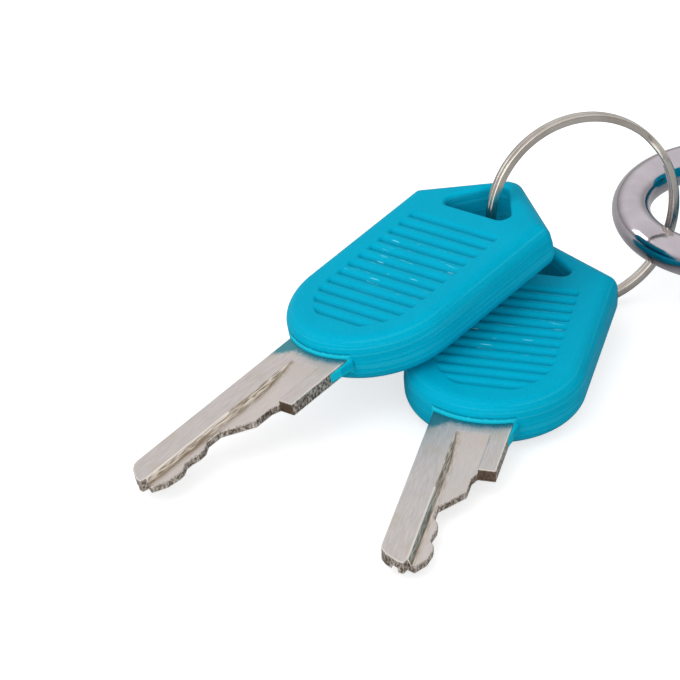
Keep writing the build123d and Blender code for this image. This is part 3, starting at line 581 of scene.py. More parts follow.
def remember(mesh, name, values):
    """Keeps a number for each point, for the material."""
    layer = mesh.attributes.new(name, "FLOAT", "POINT")
    layer.data.foreach_set("value", np.ascontiguousarray(values, np.float32))


def group(name, sizes, rows):
    """A geometry tree with a mesh input, named sizes and a material, built from rows."""
    tree = bpy.data.node_groups.new(name, "GeometryNodeTree")
    tree.interface.new_socket("Geometry", in_out="INPUT", socket_type="NodeSocketGeometry")
    for size in sizes:
        tree.interface.new_socket(size, in_out="INPUT", socket_type="NodeSocketFloat")
    tree.interface.new_socket("Material", in_out="INPUT", socket_type="NodeSocketMaterial")
    tree.interface.new_socket("Geometry", in_out="OUTPUT", socket_type="NodeSocketGeometry")
    lay(tree, [("size", "given")] + rows + [
        ("real", "realize", None, "shape"),
        ("dressed", "dress", None, "real", None, "size.Material"),
        ("end", "made", None, "dressed"),
    ])
    return tree


def grown(name, tree, mesh, sizes, material):
    """The plain mesh that a geometry tree makes of a mesh with the given sizes."""
    item = bpy.data.objects.new(name, mesh)
    bpy.context.scene.collection.objects.link(item)
    modifier = item.modifiers.new(name, "NODES")
    modifier.node_group = tree
    for socket in tree.interface.items_tree:
        if socket.in_out == "INPUT" and socket.name in sizes:
            modifier[socket.identifier] = float(sizes[socket.name])
        if socket.name == "Material":
            modifier[socket.identifier] = material
    bpy.context.view_layer.update()
    seen = item.evaluated_get(bpy.context.evaluated_depsgraph_get())
    result = bpy.data.meshes.new_from_object(seen)
    item.modifiers.clear()
    bpy.data.objects.remove(item)
    return result


def rib_tree():
    """Presses a row of valleys into flat faces: round crests between sharp valleys.

    The valleys lie across X, from First on, a Pitch apart. The mesh keeps how far each point lies
    inside the panel that they fill, and the tree keeps how far it was pressed."""
    return group("ribs", ["Pitch", "Depth", "First", "Count", "Run Out"], [
        ("place", "position"),
        ("place", "axes", None, "place"),
        ("room", "kept", "FLOAT", "panel"),
        ("along", "math", "SUBTRACT", "place.X", "size.First"),
        ("ribs", "math", "DIVIDE", "along", "size.Pitch"),
        ("nearest", "math", "ROUND", "ribs"),
        ("off", "math", "SUBTRACT", "ribs", "nearest"),
        ("off", "math", "ABSOLUTE", "off"),
        ("up", "math", "MULTIPLY_ADD", "off", -2.0, 1.0),
        ("press", "math", "POWER", "up", 2.0),
        ("last", "math", "SUBTRACT", "size.Count", 1.0),
        ("half", "math", "MULTIPLY", "last", 0.5),
        ("from middle", "math", "SUBTRACT", "nearest", "half"),
        ("from middle", "math", "ABSOLUTE", "from middle"),
        ("reach", "math", "ADD", "half", ROW_SLACK),
        ("in row", "math", "LESS_THAN", "from middle", "reach"),
        ("run", "math", "DIVIDE", "room", "size.Run Out"),
        ("run", "math", "MINIMUM", "run", 1.0),
        ("run", "math", "MAXIMUM", "run", 0.0),
        ("press", "math", "MULTIPLY", "press", "run"),
        ("press", "math", "MULTIPLY", "press", "in row"),
        ("fall", "math", "MULTIPLY", "press", "size.Depth"),
        ("side", "kept", "FLOAT", "face_side"),
        ("fall", "math", "MULTIPLY", "fall", "side"),
        ("fall", "math", "MULTIPLY", "fall", -1.0),
        ("fall", "point", None, 0.0, 0.0, "fall"),
        ("moved", "move", None, "size.Geometry", None, None, "fall"),
        ("shape", "keep", "FLOAT", "moved", None, "pressed", "press"),
    ])


def ring_tree():
    """Winds flat wire twice round, one turn beside the other, with one crossing between them."""
    sizes = ["Radius", "Step", "Wire", "Turn", "Corner", "Cross From", "Points"]
    return group("split_ring", sizes, [
        ("index", "index"),
        ("last", "math", "SUBTRACT", "size.Points", 1.0),
        ("share", "math", "DIVIDE", "index", "last"),
        ("length", "math", "ADD", "size.Cross From", tau),
        ("angle", "math", "MULTIPLY", "share", "length"),
        ("cos", "math", "COSINE", "angle"),
        ("sin", "math", "SINE", "angle"),
        ("x", "math", "MULTIPLY", "cos", "size.Radius"),
        ("y", "math", "MULTIPLY", "sin", "size.Radius"),
        ("below", "math", "MULTIPLY", "size.Step", -1.0),
        ("rise", "range", "SMOOTHSTEP", "angle", "size.Cross From", tau, "size.Step", "below"),
        ("place", "point", None, "x", "y", "rise"),
        ("line", "line", None, {"Count": "size.Points"}),
        ("line", "move", None, "line", None, "place"),
        ("path", "path", None, "line"),
        ("path", "upright", "Z_UP", "path"),
        ("section", "oblong", None, "size.Wire", "size.Turn"),
        ("section", "round off", "POLY", {
            "Curve": "section", "Count": RING_CORNER_POINTS, "Radius": "size.Corner",
        }),
        ("wire", "sweep", None, {"Curve": "path", "Profile Curve": "section", "Fill Caps": True}),
        ("shape", "smooth", None, "wire"),
    ])


def spring_tree():
    """Winds a compression spring of round wire along +Z, with part of a turn lying flat at each end."""
    return group("spring", ["Radius", "Wire", "Length", "Turns", "Flat Turn", "Points"], [
        ("index", "index"),
        ("last", "math", "SUBTRACT", "size.Points", 1.0),
        ("share", "math", "DIVIDE", "index", "last"),
        ("turned", "math", "MULTIPLY", "share", "size.Turns"),
        ("angle", "math", "MULTIPLY", "turned", tau),
        ("cos", "math", "COSINE", "angle"),
        ("sin", "math", "SINE", "angle"),
        ("x", "math", "MULTIPLY", "cos", "size.Radius"),
        ("y", "math", "MULTIPLY", "sin", "size.Radius"),
        ("end", "math", "SUBTRACT", "size.Turns", "size.Flat Turn"),
        ("wire radius", "math", "MULTIPLY", "size.Wire", 0.5),
        ("top", "math", "SUBTRACT", "size.Length", "wire radius"),
        ("rise", "range", "LINEAR", "turned", "size.Flat Turn", "end", "wire radius", "top"),
        ("place", "point", None, "x", "y", "rise"),
        ("line", "line", None, {"Count": "size.Points"}),
        ("line", "move", None, "line", None, "place"),
        ("path", "path", None, "line"),
        ("section", "circle", None, {"Resolution": SPRING_WIRE_SIDES, "Radius": "wire radius"}),
        ("wire", "sweep", None, {"Curve": "path", "Profile Curve": "section", "Fill Caps": True}),
        ("shape", "smooth", None, "wire"),
    ])


def mark_panel(mesh, room, side):
    """Keeps for the rib tree how far each point lies inside the ribbed panel, and on which face."""
    remember(mesh, "panel", np.where(side == 0, -FAR, room))
    remember(mesh, "face_side", side)


def key_heads(material):
    """Both grips, pressed with ribs on both faces."""
    margin = MARGIN_CELLS * HEAD_CELL
    start = on_rows(-HEAD_LENGTH - margin, -RIB_FIRST, HEAD_CELL)
    low = (start, HEAD_AXIS - HEAD_HALF_WIDTH - margin, -HEAD_HALF - margin)
    high = (FLASH_START + FLASH_LENGTH + margin, 2 * HEAD_AXIS - low[1], -low[2])
    points, quads = skin(head_distance, low, high, HEAD_CELL)
    mesh = mesh_from("key_head", points, quads)
    keep_own_frame(mesh)
    x, y, z = points.T
    by_blade = (np.abs(y - BLADE_WIDTH / 2) < LIP_WIDTH / 2 + LIP_REACH) & (x > LIP_SEEN_FROM)
    # The lip gets a painted highlight, and a line just beside it gets painted shade
    remember(mesh, "lip", by_blade & (np.abs(z) < LIP_HALF + LIP_REACH / 2))
    remember(mesh, "lip_root", by_blade & (np.abs(np.abs(z) - LIP_HALF - LIP_FOOT) < LIP_REACH))
    room = PANEL_HALF_WIDTH - np.hypot(np.maximum(x + PANEL_ROUND_CENTRE, 0), y - HEAD_AXIS)
    mark_panel(mesh, room, np.sign(z) * (np.abs(z) > HEAD_FACE_FROM))
    sizes = {
        "Pitch": -RIB_PITCH * MM, "Depth": RIB_DEPTH * MM, "First": -RIB_FIRST * MM, "Count": RIB_COUNT,
        "Run Out": RIB_RUN_OUT,
    }
    ribbed = grown("key_head", rib_tree(), mesh, sizes, material)
    for key, (turn, place) in KEY_POSES.items():
        copy = ribbed.copy()
        copy.transform(pose(turn, place))
        piece(key + "_grip", copy, key, [key + "_head"], material)


def covers(material):
    """The two halves of the cover, the front one pressed with ribs."""
    margin = MARGIN_CELLS * COVER_CELL
    side = -BODY_HALF - margin
    low = (on_rows(side, COVER_RIB_FIRST, COVER_CELL), side, -margin)
    high = (-low[0], -side, 2 * MID + margin)
    back_high = high[:2] + (MID + COVER_LIP + margin,)
    back = mesh_from("cover_back", *skin(back_cover_distance, low, back_high, COVER_CELL))
    piece("cover_back", back, "lock_body", ["back_cover"], material)
    front_low = low[:2] + (MID - margin,)
    points, quads = skin(front_cover_distance, front_low, high, COVER_CELL)
    mesh = mesh_from("cover_front", points, quads)
    x, y, z = points.T
    room = -rounded_oblong(x, y, COVER_PANEL, COVER_PANEL_CORNER)
    mark_panel(mesh, room, z > 2 * MID - COVER_FACE_REACH)
    sizes = {
        "Pitch": COVER_RIB_PITCH * MM, "Depth": RIB_DEPTH * MM, "First": COVER_RIB_FIRST * MM,
        "Count": COVER_RIB_COUNT, "Run Out": RIB_RUN_OUT,
    }
    front = grown("cover_front", rib_tree(), mesh, sizes, material)
    piece("cover_front", front, "lock_body", ["front_cover"], material)


def key_blades(material):
    """Both blades."""
    low = (-BLADE_ROOT - BLADE_ROOM, -BLADE_ROOM, -BLADE_HALF - BLADE_ROOM)
    high = (BLADE_LENGTH + BLADE_ROOM, BLADE_WIDTH + BLADE_ROOM, BLADE_HALF + BLADE_ROOM)
    points, quads = skin(blade_distance, low, high, BLADE_CELL)
    mesh = mesh_from("key_blade", points, quads)
    keep_own_frame(mesh)
    x, y, z = points.T
    outline, faces, band, groove = blade_shapes(x, y, z)
    edged_band = np.where(x > BAND_EDGE_FROM, band, np.inf)
    remember(mesh, "crease", crease_distance((outline, faces, edged_band, groove)))
    remember(mesh, "cut_wall", np.abs(outline) < WALL_REACH)
    remember(mesh, "from_grip", round_end(x, y) - LIP_OUT)
    remember(mesh, "step_face", (np.abs(x - BLADE_STEP) < WALL_REACH) & (y > BAND_TOP - BAND_REACH))
    floor = floor_height(x, BAND_DEPTH)
    milled = (z > 0) & (np.abs(band) < BAND_REACH) & (x > MILLING_START)
    on_floor = np.abs(floor - z) < FLOOR_REACH
    remember(mesh, "band_floor", milled & on_floor)
    remember(mesh, "band_foot", np.where(milled, np.abs(y - flank_side(floor)), FAR))
    beside = y < BAND_SIDE + BAND_FLANK + FLANK_REACH
    remember(mesh, "band_flank", milled & ~on_floor & beside)
    for key, (turn, place) in KEY_POSES.items():
        copy = mesh.copy()
        copy.transform(pose(turn, place))
        piece(key + "_metal", copy, key, [key + "_blade"], material)


def ring(material):
    """The split ring, leaning on the shackle."""
    sizes = {
        "Radius": RING_R * MM, "Step": RING_STEP * MM, "Wire": RING_WIRE * MM, "Turn": RING_TURN * MM,
        "Corner": RING_CORNER * MM, "Cross From": radians(360 - RING_CROSS_ANGLE), "Points": RING_POINTS,
    }
    start = bpy.data.meshes.new("ring_start")
    mesh = grown("split_ring", ring_tree(), start, sizes, material)
    mesh.transform(Matrix.Rotation(radians(RING_CROSS_AT), 4, "Z"))
    turned = Matrix.Rotation(radians(RING_YAW), 4, "Z") @ Matrix.Rotation(radians(RING_TILT), 4, "X")
    mesh.transform(Matrix.Translation(Vector(RING_CENTRE) * MM) @ turned)
    piece("split_ring", mesh, "key_ring", ["key_ring"], material)


def shackle(material):
    """The bent and plated bar."""
    low = (BOW_X - LEG_Y - BAR_R - SHACKLE_ROOM, -LEG_Y - BAR_R - SHACKLE_ROOM, MID - BAR_R - SHACKLE_ROOM)
    high = (HEEL_END + SHACKLE_ROOM, LEG_Y + BAR_R + SHACKLE_ROOM, MID + BAR_R + SHACKLE_ROOM)
    mesh = mesh_from("shackle_bar", *skin(shackle_distance, low, high, SHACKLE_CELL))
    piece("shackle_bar", mesh, "shackle", ["shackle"], material)


def springs(material):
    """The springs, each wound between the ends of its solid. Each driver's spring gets a mesh of its own."""
    tree = spring_tree()
    for name, (along, wire, turns) in SPRINGS.items():
        low, high = (Vector(corner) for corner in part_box(name))
        sizes = {
            "Radius": (high.z - low.z - wire * MM) / 2, "Wire": wire * MM, "Length": high[along] - low[along],
            "Turns": turns, "Flat Turn": SPRING_FLAT_TURN, "Points": SPRING_TURN_POINTS * turns + 1,
        }
        mesh = grown(name + "_coil", tree, bpy.data.meshes.new(name + "_start"), sizes, material)
        foot = (low + high) / 2
        foot[along] = low[along]
        to_axis = Matrix.Rotation(pi / 2, 4, "Y") if along == 0 else Matrix.Rotation(-pi / 2, 4, "X")
        mesh.transform(Matrix.Translation(foot) @ to_axis)
        item = piece(name + "_coil", mesh, "lock_body", [name], material)
        if name.startswith("driver"):
            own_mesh(item)


def material(name, constants, rows):
    """A material with constants on its shader, and each row that is named for one of the shader's
    inputs led into it."""
    made = bpy.data.materials.new(name)
    made.use_nodes = True
    shader = made.node_tree.nodes["Principled BSDF"]
    for socket, value in constants.items():
        shader.inputs[socket].default_value = value
    for row_name, node in lay(made.node_tree, rows).items():
        if row_name in shader.inputs:
            made.node_tree.links.new(first_output(node), shader.inputs[row_name])
    return made


# Where a pattern lies, in millimetres: on the object as a whole, or in a key's own frame
ON_OBJECT = [
    ("coordinates", "coordinates"),
    ("place", "vector", "SCALE", "coordinates.Object", 1 / MM),
]
ON_KEY = [
    ("place", "stored", "own_frame"),
    ("axes", "axes", None, "place.Vector"),
    ("high", "math", "ABSOLUTE", "axes.Z"),
]

# Sizes of the patterns in millimetres. Real grain, scratches and tool marks are finer, and are
# drawn as coarse as they need to show. A noise row below gives its scale and its octaves, and a
# range row what its value runs from and to, and what that becomes
PLASTIC_CLOUD = 5.0
PLASTIC_GRAIN = 0.28
PLASTIC_GRAIN_DEPTH = 0.02
RUB_MARK = 0.45
STREAK = 0.16
WORN_PATCH = 2.2
SPECK = 0.2
MILL_MARK = 0.1
SAW_MARK = 0.22
BLADE_GRAIN_DEPTH = 0.01
PLATE_CLOUD = 3.0
SCRATCH_DEPTH = 0.0015
METAL_CLOUD = 4.0

# Where marks on a key begin or end, in millimetres: in its own frame, or from the edge, the foot
# of the milled band's flank or the spine that they're named for
RUBBED_FROM = (-17.0, -16.0)
RUBBED_TO = (-8.5, -7.5)
RUBBED_INSIDE = (0.2, 0.6)  # from the edge of the ribbed panel
DRAG_LINES = (0.05, 0.05, 3.6)  # to a millimetre along each axis
DRAG_LINES_TO = (2.15, 2.35)  # height
RAMP_SHADE_END = 8.0
FOOT_STREAKS = (0.0, 0.6)
DARK_FOOT_LINE = (0.03, 0.12)
EDGE_HIGHLIGHT = (0.05, 0.16)
DULL_BY_FOOT = (0.15, 0.3)
GRIP_SHADE_BY_SPINE = (0.0, 2.4)

# Low gloss, which keeps the colour full under a white sky
SATIN = {"Specular IOR Level": 0.02, "Roughness": 0.42}

# Even turquoise of moulded ABS with the fine grain of a spark eroded mould, and how deep a point
# lies in a rib's valley, which darkens its colour there as painted shade
MOULDED = [
    ("cloud", "noise", "3D", "place.Vector", 1 / PLASTIC_CLOUD, 3.0),
    ("grain", "noise", "3D", "place.Vector", 1 / PLASTIC_GRAIN, 4.0),
    ("cloud share", "range", "LINEAR", "cloud", 0.3, 0.7, 0.0, 1.0),
    ("colour", "mix", "RGBA", "cloud share", "#00A3C3", "#00A9C9"),
    ("grain share", "range", "LINEAR", "grain", 0.35, 0.75, 0.0, 0.4),
    ("colour", "mix", "RGBA", "grain share", "colour", "#0093B4"),
    ("pressed", "stored", "pressed"),
    # Painted shade: the deeper a point lies in a valley, the darker its colour
    ("valley", "range", "LINEAR", "pressed.Fac", 0.25, 1.0, 0.0, 0.6),
]
PAINTED_VALLEY_SHADE = ("valley", "colour", "#007A98")


def cover_plastic():
    """Turquoise ABS, injection moulded: satin and even, with painted shade darkening the ribs' valleys."""
    return material("moulded_turquoise_abs_cover", SATIN, ON_OBJECT + MOULDED + [
        ("Base Color", "mix", "RGBA", *PAINTED_VALLEY_SHADE),
        ("Normal", "bump", None, {"Height": "grain", "Distance": PLASTIC_GRAIN_DEPTH * MM}),
    ])


def key_plastic():
    """The same ABS moulded over a blade: pale rub marks on the ribs, drag lines along the sides from
    the mould, painted lighter as highlights, and a thin edge of plastic with a painted highlight and
    a painted shade line beside it, where the blade comes out."""
    return material("overmoulded_turquoise_abs_grip", SATIN, ON_KEY + MOULDED + [
        ("colour", "mix", "RGBA", *PAINTED_VALLEY_SHADE),
        ("stretched", "vector", "MULTIPLY", "place.Vector", (2.0, 1 / 6, 0.5)),
        ("marks", "noise", "3D", "stretched", 1 / RUB_MARK, 2.0),
        ("rubbed", "range", "LINEAR", "marks", 0.66, 0.74, 0.0, 0.8),
        ("on ribs", "range", "LINEAR", "axes.X", *RUBBED_FROM, 0.0, 1.0),
        ("before ribs", "range", "LINEAR", "axes.X", *RUBBED_TO, 1.0, 0.0),
        ("rubbed", "math", "MULTIPLY", "rubbed", "on ribs"),
        ("rubbed", "math", "MULTIPLY", "rubbed", "before ribs"),
        ("panel", "stored", "panel"),
        ("in panel", "range", "LINEAR", "panel.Fac", *RUBBED_INSIDE, 0.0, 1.0),
        ("rubbed", "math", "MULTIPLY", "rubbed", "in panel"),
        ("colour", "mix", "RGBA", "rubbed", "colour", "#7FDBEA"),
        # Painted highlight: the lip is made brighter
        ("lip", "stored", "lip"),
        ("lip share", "math", "MULTIPLY", "lip.Fac", 0.5),
        ("colour", "mix", "RGBA", "lip share", "colour", "#19CBDC"),
        # Painted shade: a dark line just beside the lip, where the blade comes out
        ("root", "stored", "lip_root"),
        ("root share", "math", "MULTIPLY", "root.Fac", 0.6),
        ("colour", "mix", "RGBA", "root share", "colour", "#00708C"),
        ("drawn", "vector", "MULTIPLY", "place.Vector", DRAG_LINES),
        ("lines", "noise", "3D", "drawn", 1.0, 1.0),
        ("lines", "range", "LINEAR", "lines", 0.5, 0.6, 0.0, 1.0),
        ("on wall", "range", "LINEAR", "high", *DRAG_LINES_TO, 1.0, 0.0),
        ("lines", "math", "MULTIPLY", "lines", "on wall"),
        # The mould's drag lines, also painted lighter as highlights on the sides
        ("line share", "math", "MULTIPLY", "lines", 0.24),
        ("Base Color", "mix", "RGBA", "line share", "colour", "#33BFD6"),
        ("height", "math", "ADD", "lines", "grain"),
        ("Normal", "bump", None, {"Height": "height", "Distance": PLASTIC_GRAIN_DEPTH * MM}),
    ])


def key_nickel():
    """Nickel plated brass, stamped, milled and worn: streaks along the blade, sawn cut walls,
    bright burrs along the edges, painted as highlights too, and painted turquoise shade beside the grip."""
    return material("worn_nickel_plated_brass_blade", {"Metallic": 1.0}, ON_KEY + [
        ("drawn", "vector", "MULTIPLY", "place.Vector", (1 / 9, 1.0, 1.0)),
        ("streaks", "noise", "3D", "drawn", 1 / STREAK, 4.0),
        ("patches", "noise", "3D", "place.Vector", 1 / WORN_PATCH, 3.0),
        ("speck", "noise", "3D", "place.Vector", 1 / SPECK, 4.0),
        ("streak share", "range", "LINEAR", "streaks", 0.3, 0.7, 0.0, 1.0),
        ("colour", "mix", "RGBA", "streak share", "#BFB8B5", "#D3CBC9"),
        ("patch share", "range", "LINEAR", "patches", 0.5, 0.75, 0.0, 0.4),
        ("colour", "mix", "RGBA", "patch share", "colour", "#BEAF95"),
        ("floor", "stored", "band_floor"),
        ("floor share", "math", "MULTIPLY", "floor.Fac", 0.35),
        ("colour", "mix", "RGBA", "floor share", "colour", "#DCD2CB"),
        # Painted shade: the milled floor is darkened where it ramps in, to tone down its reflection
        ("ramp", "range", "LINEAR", "axes.X", MILLING_START, RAMP_SHADE_END, 0.2, 0.0),
        ("ramp", "math", "MULTIPLY", "ramp", "floor.Fac"),
        ("colour", "mix", "RGBA", "ramp", "colour", "#8A817B"),
        ("flank", "stored", "band_flank"),
        ("milled", "vector", "MULTIPLY", "place.Vector", (1 / 14, 1.0, 1.0)),
        ("mill marks", "noise", "3D", "milled", 1 / MILL_MARK, 3.0),
        ("mill share", "range", "LINEAR", "mill marks", 0.42, 0.6, 0.0, 1.0),
        ("flank colour", "mix", "RGBA", "mill share", "#83725B", "#E2D8CB"),
        ("foot", "stored", "band_foot"),
        ("beside foot", "range", "LINEAR", "foot.Fac", *FOOT_STREAKS, 0.6, 0.0),
        ("beside foot", "math", "MULTIPLY", "beside foot", "floor.Fac"),
        ("flank share", "math", "MULTIPLY_ADD", "flank.Fac", 0.85, "beside foot"),
        ("colour", "mix", "RGBA", "flank share", "colour", "flank colour"),
        # Darker along the foot of the milled band's flank, in patches
        ("dirt", "range", "LINEAR", "foot.Fac", *DARK_FOOT_LINE, 0.8, 0.0),
        ("dirt share", "range", "LINEAR", "patches", 0.4, 0.6, 0.35, 1.0),
        ("dirt share", "math", "MULTIPLY", "dirt share", "dirt"),
        ("colour", "mix", "RGBA", "dirt share", "colour", "#7A664C"),
        ("sawn", "vector", "MULTIPLY", "place.Vector", (1.0, 1.0, 0.6)),
        ("saw marks", "noise", "3D", "sawn", 1 / SAW_MARK, 3.0),
        ("saw share", "range", "LINEAR", "saw marks", 0.4, 0.62, 0.0, 1.0),
        ("rough wall", "mix", "RGBA", "saw share", "#74685C", "#DAD1C8"),
        ("worn wall", "range", "LINEAR", "patches", 0.45, 0.6, 0.0, 0.4),
        ("rough wall", "mix", "RGBA", "worn wall", "rough wall", "#51463C"),
        ("wall", "stored", "cut_wall"),
        ("colour", "mix", "RGBA", "wall.Fac", "colour", "rough wall"),
        ("step", "stored", "step_face"),
        ("step share", "math", "MULTIPLY", "step.Fac", 0.85),
        ("colour", "mix", "RGBA", "step share", "colour", "#6E5A48"),
        ("crease", "stored", "crease"),
        # Bright edges: worn burrs, also painted as highlights
        ("edge", "range", "LINEAR", "crease.Fac", *EDGE_HIGHLIGHT, 0.75, 0.0),
        ("out of foot", "range", "LINEAR", "foot.Fac", *DULL_BY_FOOT, 0.0, 1.0),
        ("edge", "math", "MULTIPLY", "edge", "out of foot"),
        ("off floor", "math", "SUBTRACT", 1.0, "floor.Fac"),
        ("edge", "math", "MULTIPLY", "edge", "off floor"),
        ("colour", "mix", "RGBA", "edge", "colour", "#EFE9E2"),
        # Painted shade, tinted turquoise, on the blade beside the grip and along the spine near it
        ("from grip", "stored", "from_grip"),
        ("ragged", "math", "MULTIPLY_ADD", "speck", -1.2, "from grip.Fac"),
        ("by spine", "range", "SMOOTHSTEP", "axes.Y", *GRIP_SHADE_BY_SPINE, 1.9, 0.0),
        ("ragged", "math", "SUBTRACT", "ragged", "by spine"),
        ("stain", "range", "SMOOTHSTEP", "ragged", -0.5, 0.55, 0.9, 0.0),
        ("Base Color", "mix", "RGBA", "stain", "colour", "#148693"),
        ("shine", "range", "LINEAR", "streaks", 0.3, 0.7, 0.34, 0.46),
        ("Roughness", "math", "MULTIPLY_ADD", "wall.Fac", 0.2, "shine"),
        ("depth", "math", "MULTIPLY_ADD", "wall.Fac", 4.0, 1.0),
        ("rough", "mix", "FLOAT", "wall.Fac", "speck", "saw marks"),
        ("height", "math", "MULTIPLY_ADD", "rough", "depth", "streaks"),
        ("Normal", "bump", None, {"Height": "height", "Distance": BLADE_GRAIN_DEPTH * MM}),
    ])


def plated(name, light, dark, roughness, scratch):
    """Polished plated metal: nearly even, with scratches from use as wide as given."""
    return material(name, {"Metallic": 1.0}, ON_OBJECT + [
        ("cloud", "noise", "3D", "place", 1 / PLATE_CLOUD, 3.0),
        ("cloud share", "range", "LINEAR", "cloud", 0.3, 0.7, 0.0, 1.0),
        ("Base Color", "mix", "RGBA", "cloud share", light, dark),
        ("across", "vector", "MULTIPLY", "place", (1.0, 1.0, 1 / 6)),
        ("fine", "noise", "3D", "across", 1 / scratch, 4.0),
        ("Roughness", "range", "LINEAR", "fine", 0.35, 0.7, roughness, 1.8 * roughness),
        ("Normal", "bump", None, {"Height": "fine", "Distance": SCRATCH_DEPTH * MM}),
    ])


def worked_metal(name, light, dark, roughness, size, stretch, depth):
    """Unplated metal: turned, cast, drawn or ground, by the grain that its making left. Size and
    depth are the grain's, and stretch says how many times as long it is along each axis."""
    return material(name, {"Metallic": 1.0}, ON_OBJECT + [
        ("drawn", "vector", "DIVIDE", "place", stretch),
        ("marks", "noise", "3D", "drawn", 1 / size, 4.0),
        ("cloud", "noise", "3D", "place", 1 / METAL_CLOUD, 3.0),
        ("mark share", "range", "LINEAR", "marks", 0.3, 0.7, 0.0, 1.0),
        ("colour", "mix", "RGBA", "mark share", dark, light),
        ("cloud share", "range", "LINEAR", "cloud", 0.5, 0.8, 0.0, 0.5),
        ("Base Color", "mix", "RGBA", "cloud share", "colour", dark),
        ("Roughness", "range", "LINEAR", "cloud", 0.3, 0.7, roughness, 1.3 * roughness),
        ("Normal", "bump", None, {"Height": "marks", "Distance": depth * MM}),
    ])


def camera():
    """The photograph's camera."""
    data = bpy.data.cameras.new("photo_camera")
    data.sensor_width = SENSOR
    data.lens = SENSOR * VIEW_FOCAL
    data.clip_end = VIEW_REACH
    item = bpy.data.objects.new("photo_camera", data)
    bpy.context.scene.collection.objects.link(item)
    back = Vector((0, -cos(VIEW_ELEVATION), sin(VIEW_ELEVATION)))
    item.location = VIEW_TARGET + back * VIEW_DISTANCE
    item.rotation_euler = (pi / 2 - VIEW_ELEVATION, 0, 0)
    bpy.context.scene.camera = item


def lamp(name, place, watts, size, on_matt=True, in_metal=True):
    """A soft square lamp that points at the keys, with its place and size in metres. It lights matt
    surfaces, shows in metal, or both."""
    data = bpy.data.lights.new(name, "AREA")
    data.energy = watts
    data.size = size
    item = bpy.data.objects.new(name, data)
    bpy.context.scene.collection.objects.link(item)
    item.visible_diffuse = on_matt
    item.visible_glossy = in_metal
    item.location = Vector(place)
    item.rotation_euler = (VIEW_TARGET - item.location).to_track_quat("-Z", "Y").to_euler()


# 1 for rays that the camera sends, straight or through glass, and 0 for all others
SEEN = [
    ("rays", "rays"),
    ("straight", "math", "MAXIMUM", "rays.Is Camera Ray", "rays.Is Transmission Ray"),
]


def world():
    """An even studio that looks white and lights the object plainly. Metal sees it white overhead and
    greyer towards the horizon, as the walls of a room are."""
    shade = bpy.data.worlds.new("studio")
    bpy.context.scene.world = shade
    shade.use_nodes = True
    tree = shade.node_tree
    known = lay(tree, SEEN + [
        ("coordinates", "coordinates"),
        ("axes", "axes", None, "coordinates.Generated"),
        ("room", "range", "SMOOTHSTEP", "axes.Z", *HORIZON, HORIZON_LIGHT, 1.0),
        ("plain", "range", "LINEAR", "straight", 0.0, 1.0, WORLD_LIGHT, 1.0),
        ("strength", "mix", "FLOAT", "rays.Is Glossy Ray", "plain", "room"),
    ])
    background = tree.nodes["Background"]
    background.inputs["Color"].default_value = (1, 1, 1, 1)
    tree.links.new(known["strength"].outputs[0], background.inputs["Strength"])
    bpy.context.scene.view_settings.view_transform = "Standard"


def table():
    """The white table, which keeps the object's soft shadow."""
    mesh = bpy.data.meshes.new("table")
    corners = [(TABLE_HALF * x, TABLE_HALF * y, 0) for x, y in ((-1, -1), (1, -1), (1, 1), (-1, 1))]
    mesh.from_pydata(corners, [], [(0, 1, 2, 3)])
    item = bpy.data.objects.new("table", mesh)
    bpy.context.scene.collection.objects.link(item)
    constants = {
        "Base Color": (TABLE_GREY, TABLE_GREY, TABLE_GREY, 1), "Roughness": 0.6,
        "Specular IOR Level": 0.1, "Emission Color": (1, 1, 1, 1),
    }
    mesh.materials.append(material("white_laminate_table", constants, SEEN + [
        ("Emission Strength", "math", "MULTIPLY", "straight", TABLE_GLOW),
    ]))


camera()
world()
table()
lamp("left_lamp", (-0.55, -0.15, 0.6), watts=3.7, size=0.9, in_metal=False)
lamp("left_sparkle", (-0.71, 0.14, 0.29), watts=0.55, size=0.24, on_matt=False)
lamp("front_lamp", (-0.07, -0.9, 0.22), watts=3.9, size=0.8)

COVER_PLASTIC = cover_plastic()
KEY_PLASTIC = key_plastic()
KEY_NICKEL = key_nickel()

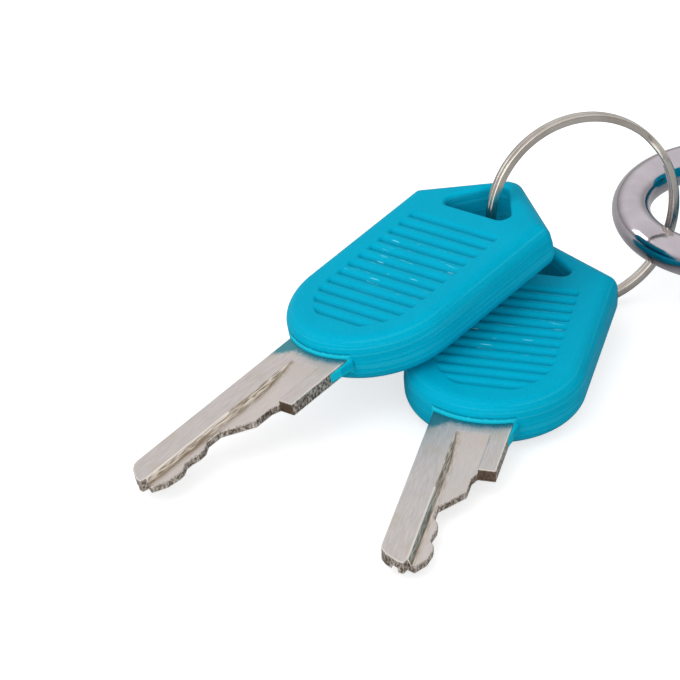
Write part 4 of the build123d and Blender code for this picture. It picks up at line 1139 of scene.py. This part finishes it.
# Nickel is warm and a little soft, chrome cooler and the sharpest mirror of all
NICKEL_WIRE = plated("polished_nickel_wire", "#CBC5BD", "#B3ABA3", 0.14, 0.3)
CHROME = plated("polished_chromed_steel", "#C4BDC2", "#B4ACB3", 0.08, 0.4)

# Cast zinc is dull grey with an even grain, rivets are paler with faint lines along them, ground
# steel has fine lines one way, turned brass is yellow with fine lines, and drawn wire is even
BRASS = ("#D9B566", "#B58F45")
CAST_ZINC = worked_metal("die_cast_zinc", "#A9A9AB", "#8D8D90", 0.42, 0.5, (1, 1, 1), 0.02)
RIVET_STEEL = worked_metal("headed_rivet_steel", "#C2C2C0", "#9C9C9A", 0.3, 0.2, (1, 1, 6), 0.006)
GROUND_STEEL = worked_metal("ground_steel", "#B3B3B4", "#8C8C8F", 0.3, 0.15, (1, 10, 1), 0.006)
PIN_BRASS = worked_metal("turned_brass_pin", *BRASS, 0.24, 0.12, (12, 12, 1), 0.006)
PLUG_BRASS = worked_metal("turned_brass_plug", *BRASS, 0.24, 0.15, (1, 12, 12), 0.008)
SPRING_WIRE = worked_metal("drawn_spring_steel", "#B7B8BC", "#8A8B90", 0.25, 0.1, (4, 4, 4), 0.003)
FINISHES = {
    "back_cover": COVER_PLASTIC, "front_cover": COVER_PLASTIC,
    "case_back_half": CAST_ZINC, "case_front_half": CAST_ZINC, "case_rivets": RIVET_STEEL,
    "shackle": CHROME, "shackle_pin": GROUND_STEEL, "shackle_spring": SPRING_WIRE,
    "toe_latch": GROUND_STEEL, "heel_latch": GROUND_STEEL,
    "latch_spring_1": SPRING_WIRE, "latch_spring_2": SPRING_WIRE, "plug": PLUG_BRASS,
    "key_ring": NICKEL_WIRE,
}
for i in "123":
    FINISHES.update({"key_pin_" + i: PIN_BRASS, "driver_pin_" + i: PIN_BRASS})
    FINISHES["driver_spring_" + i] = SPRING_WIRE
for key in KEY_POSES:
    FINISHES.update({key + "_head": KEY_PLASTIC, key + "_blade": KEY_NICKEL})
for name, item in NODES.items():
    item.data.materials.clear()
    item.data.materials.append(FINISHES[name])
key_heads(KEY_PLASTIC)
key_blades(KEY_NICKEL)
ring(NICKEL_WIRE)
shackle(CHROME)
covers(COVER_PLASTIC)
springs(SPRING_WIRE)
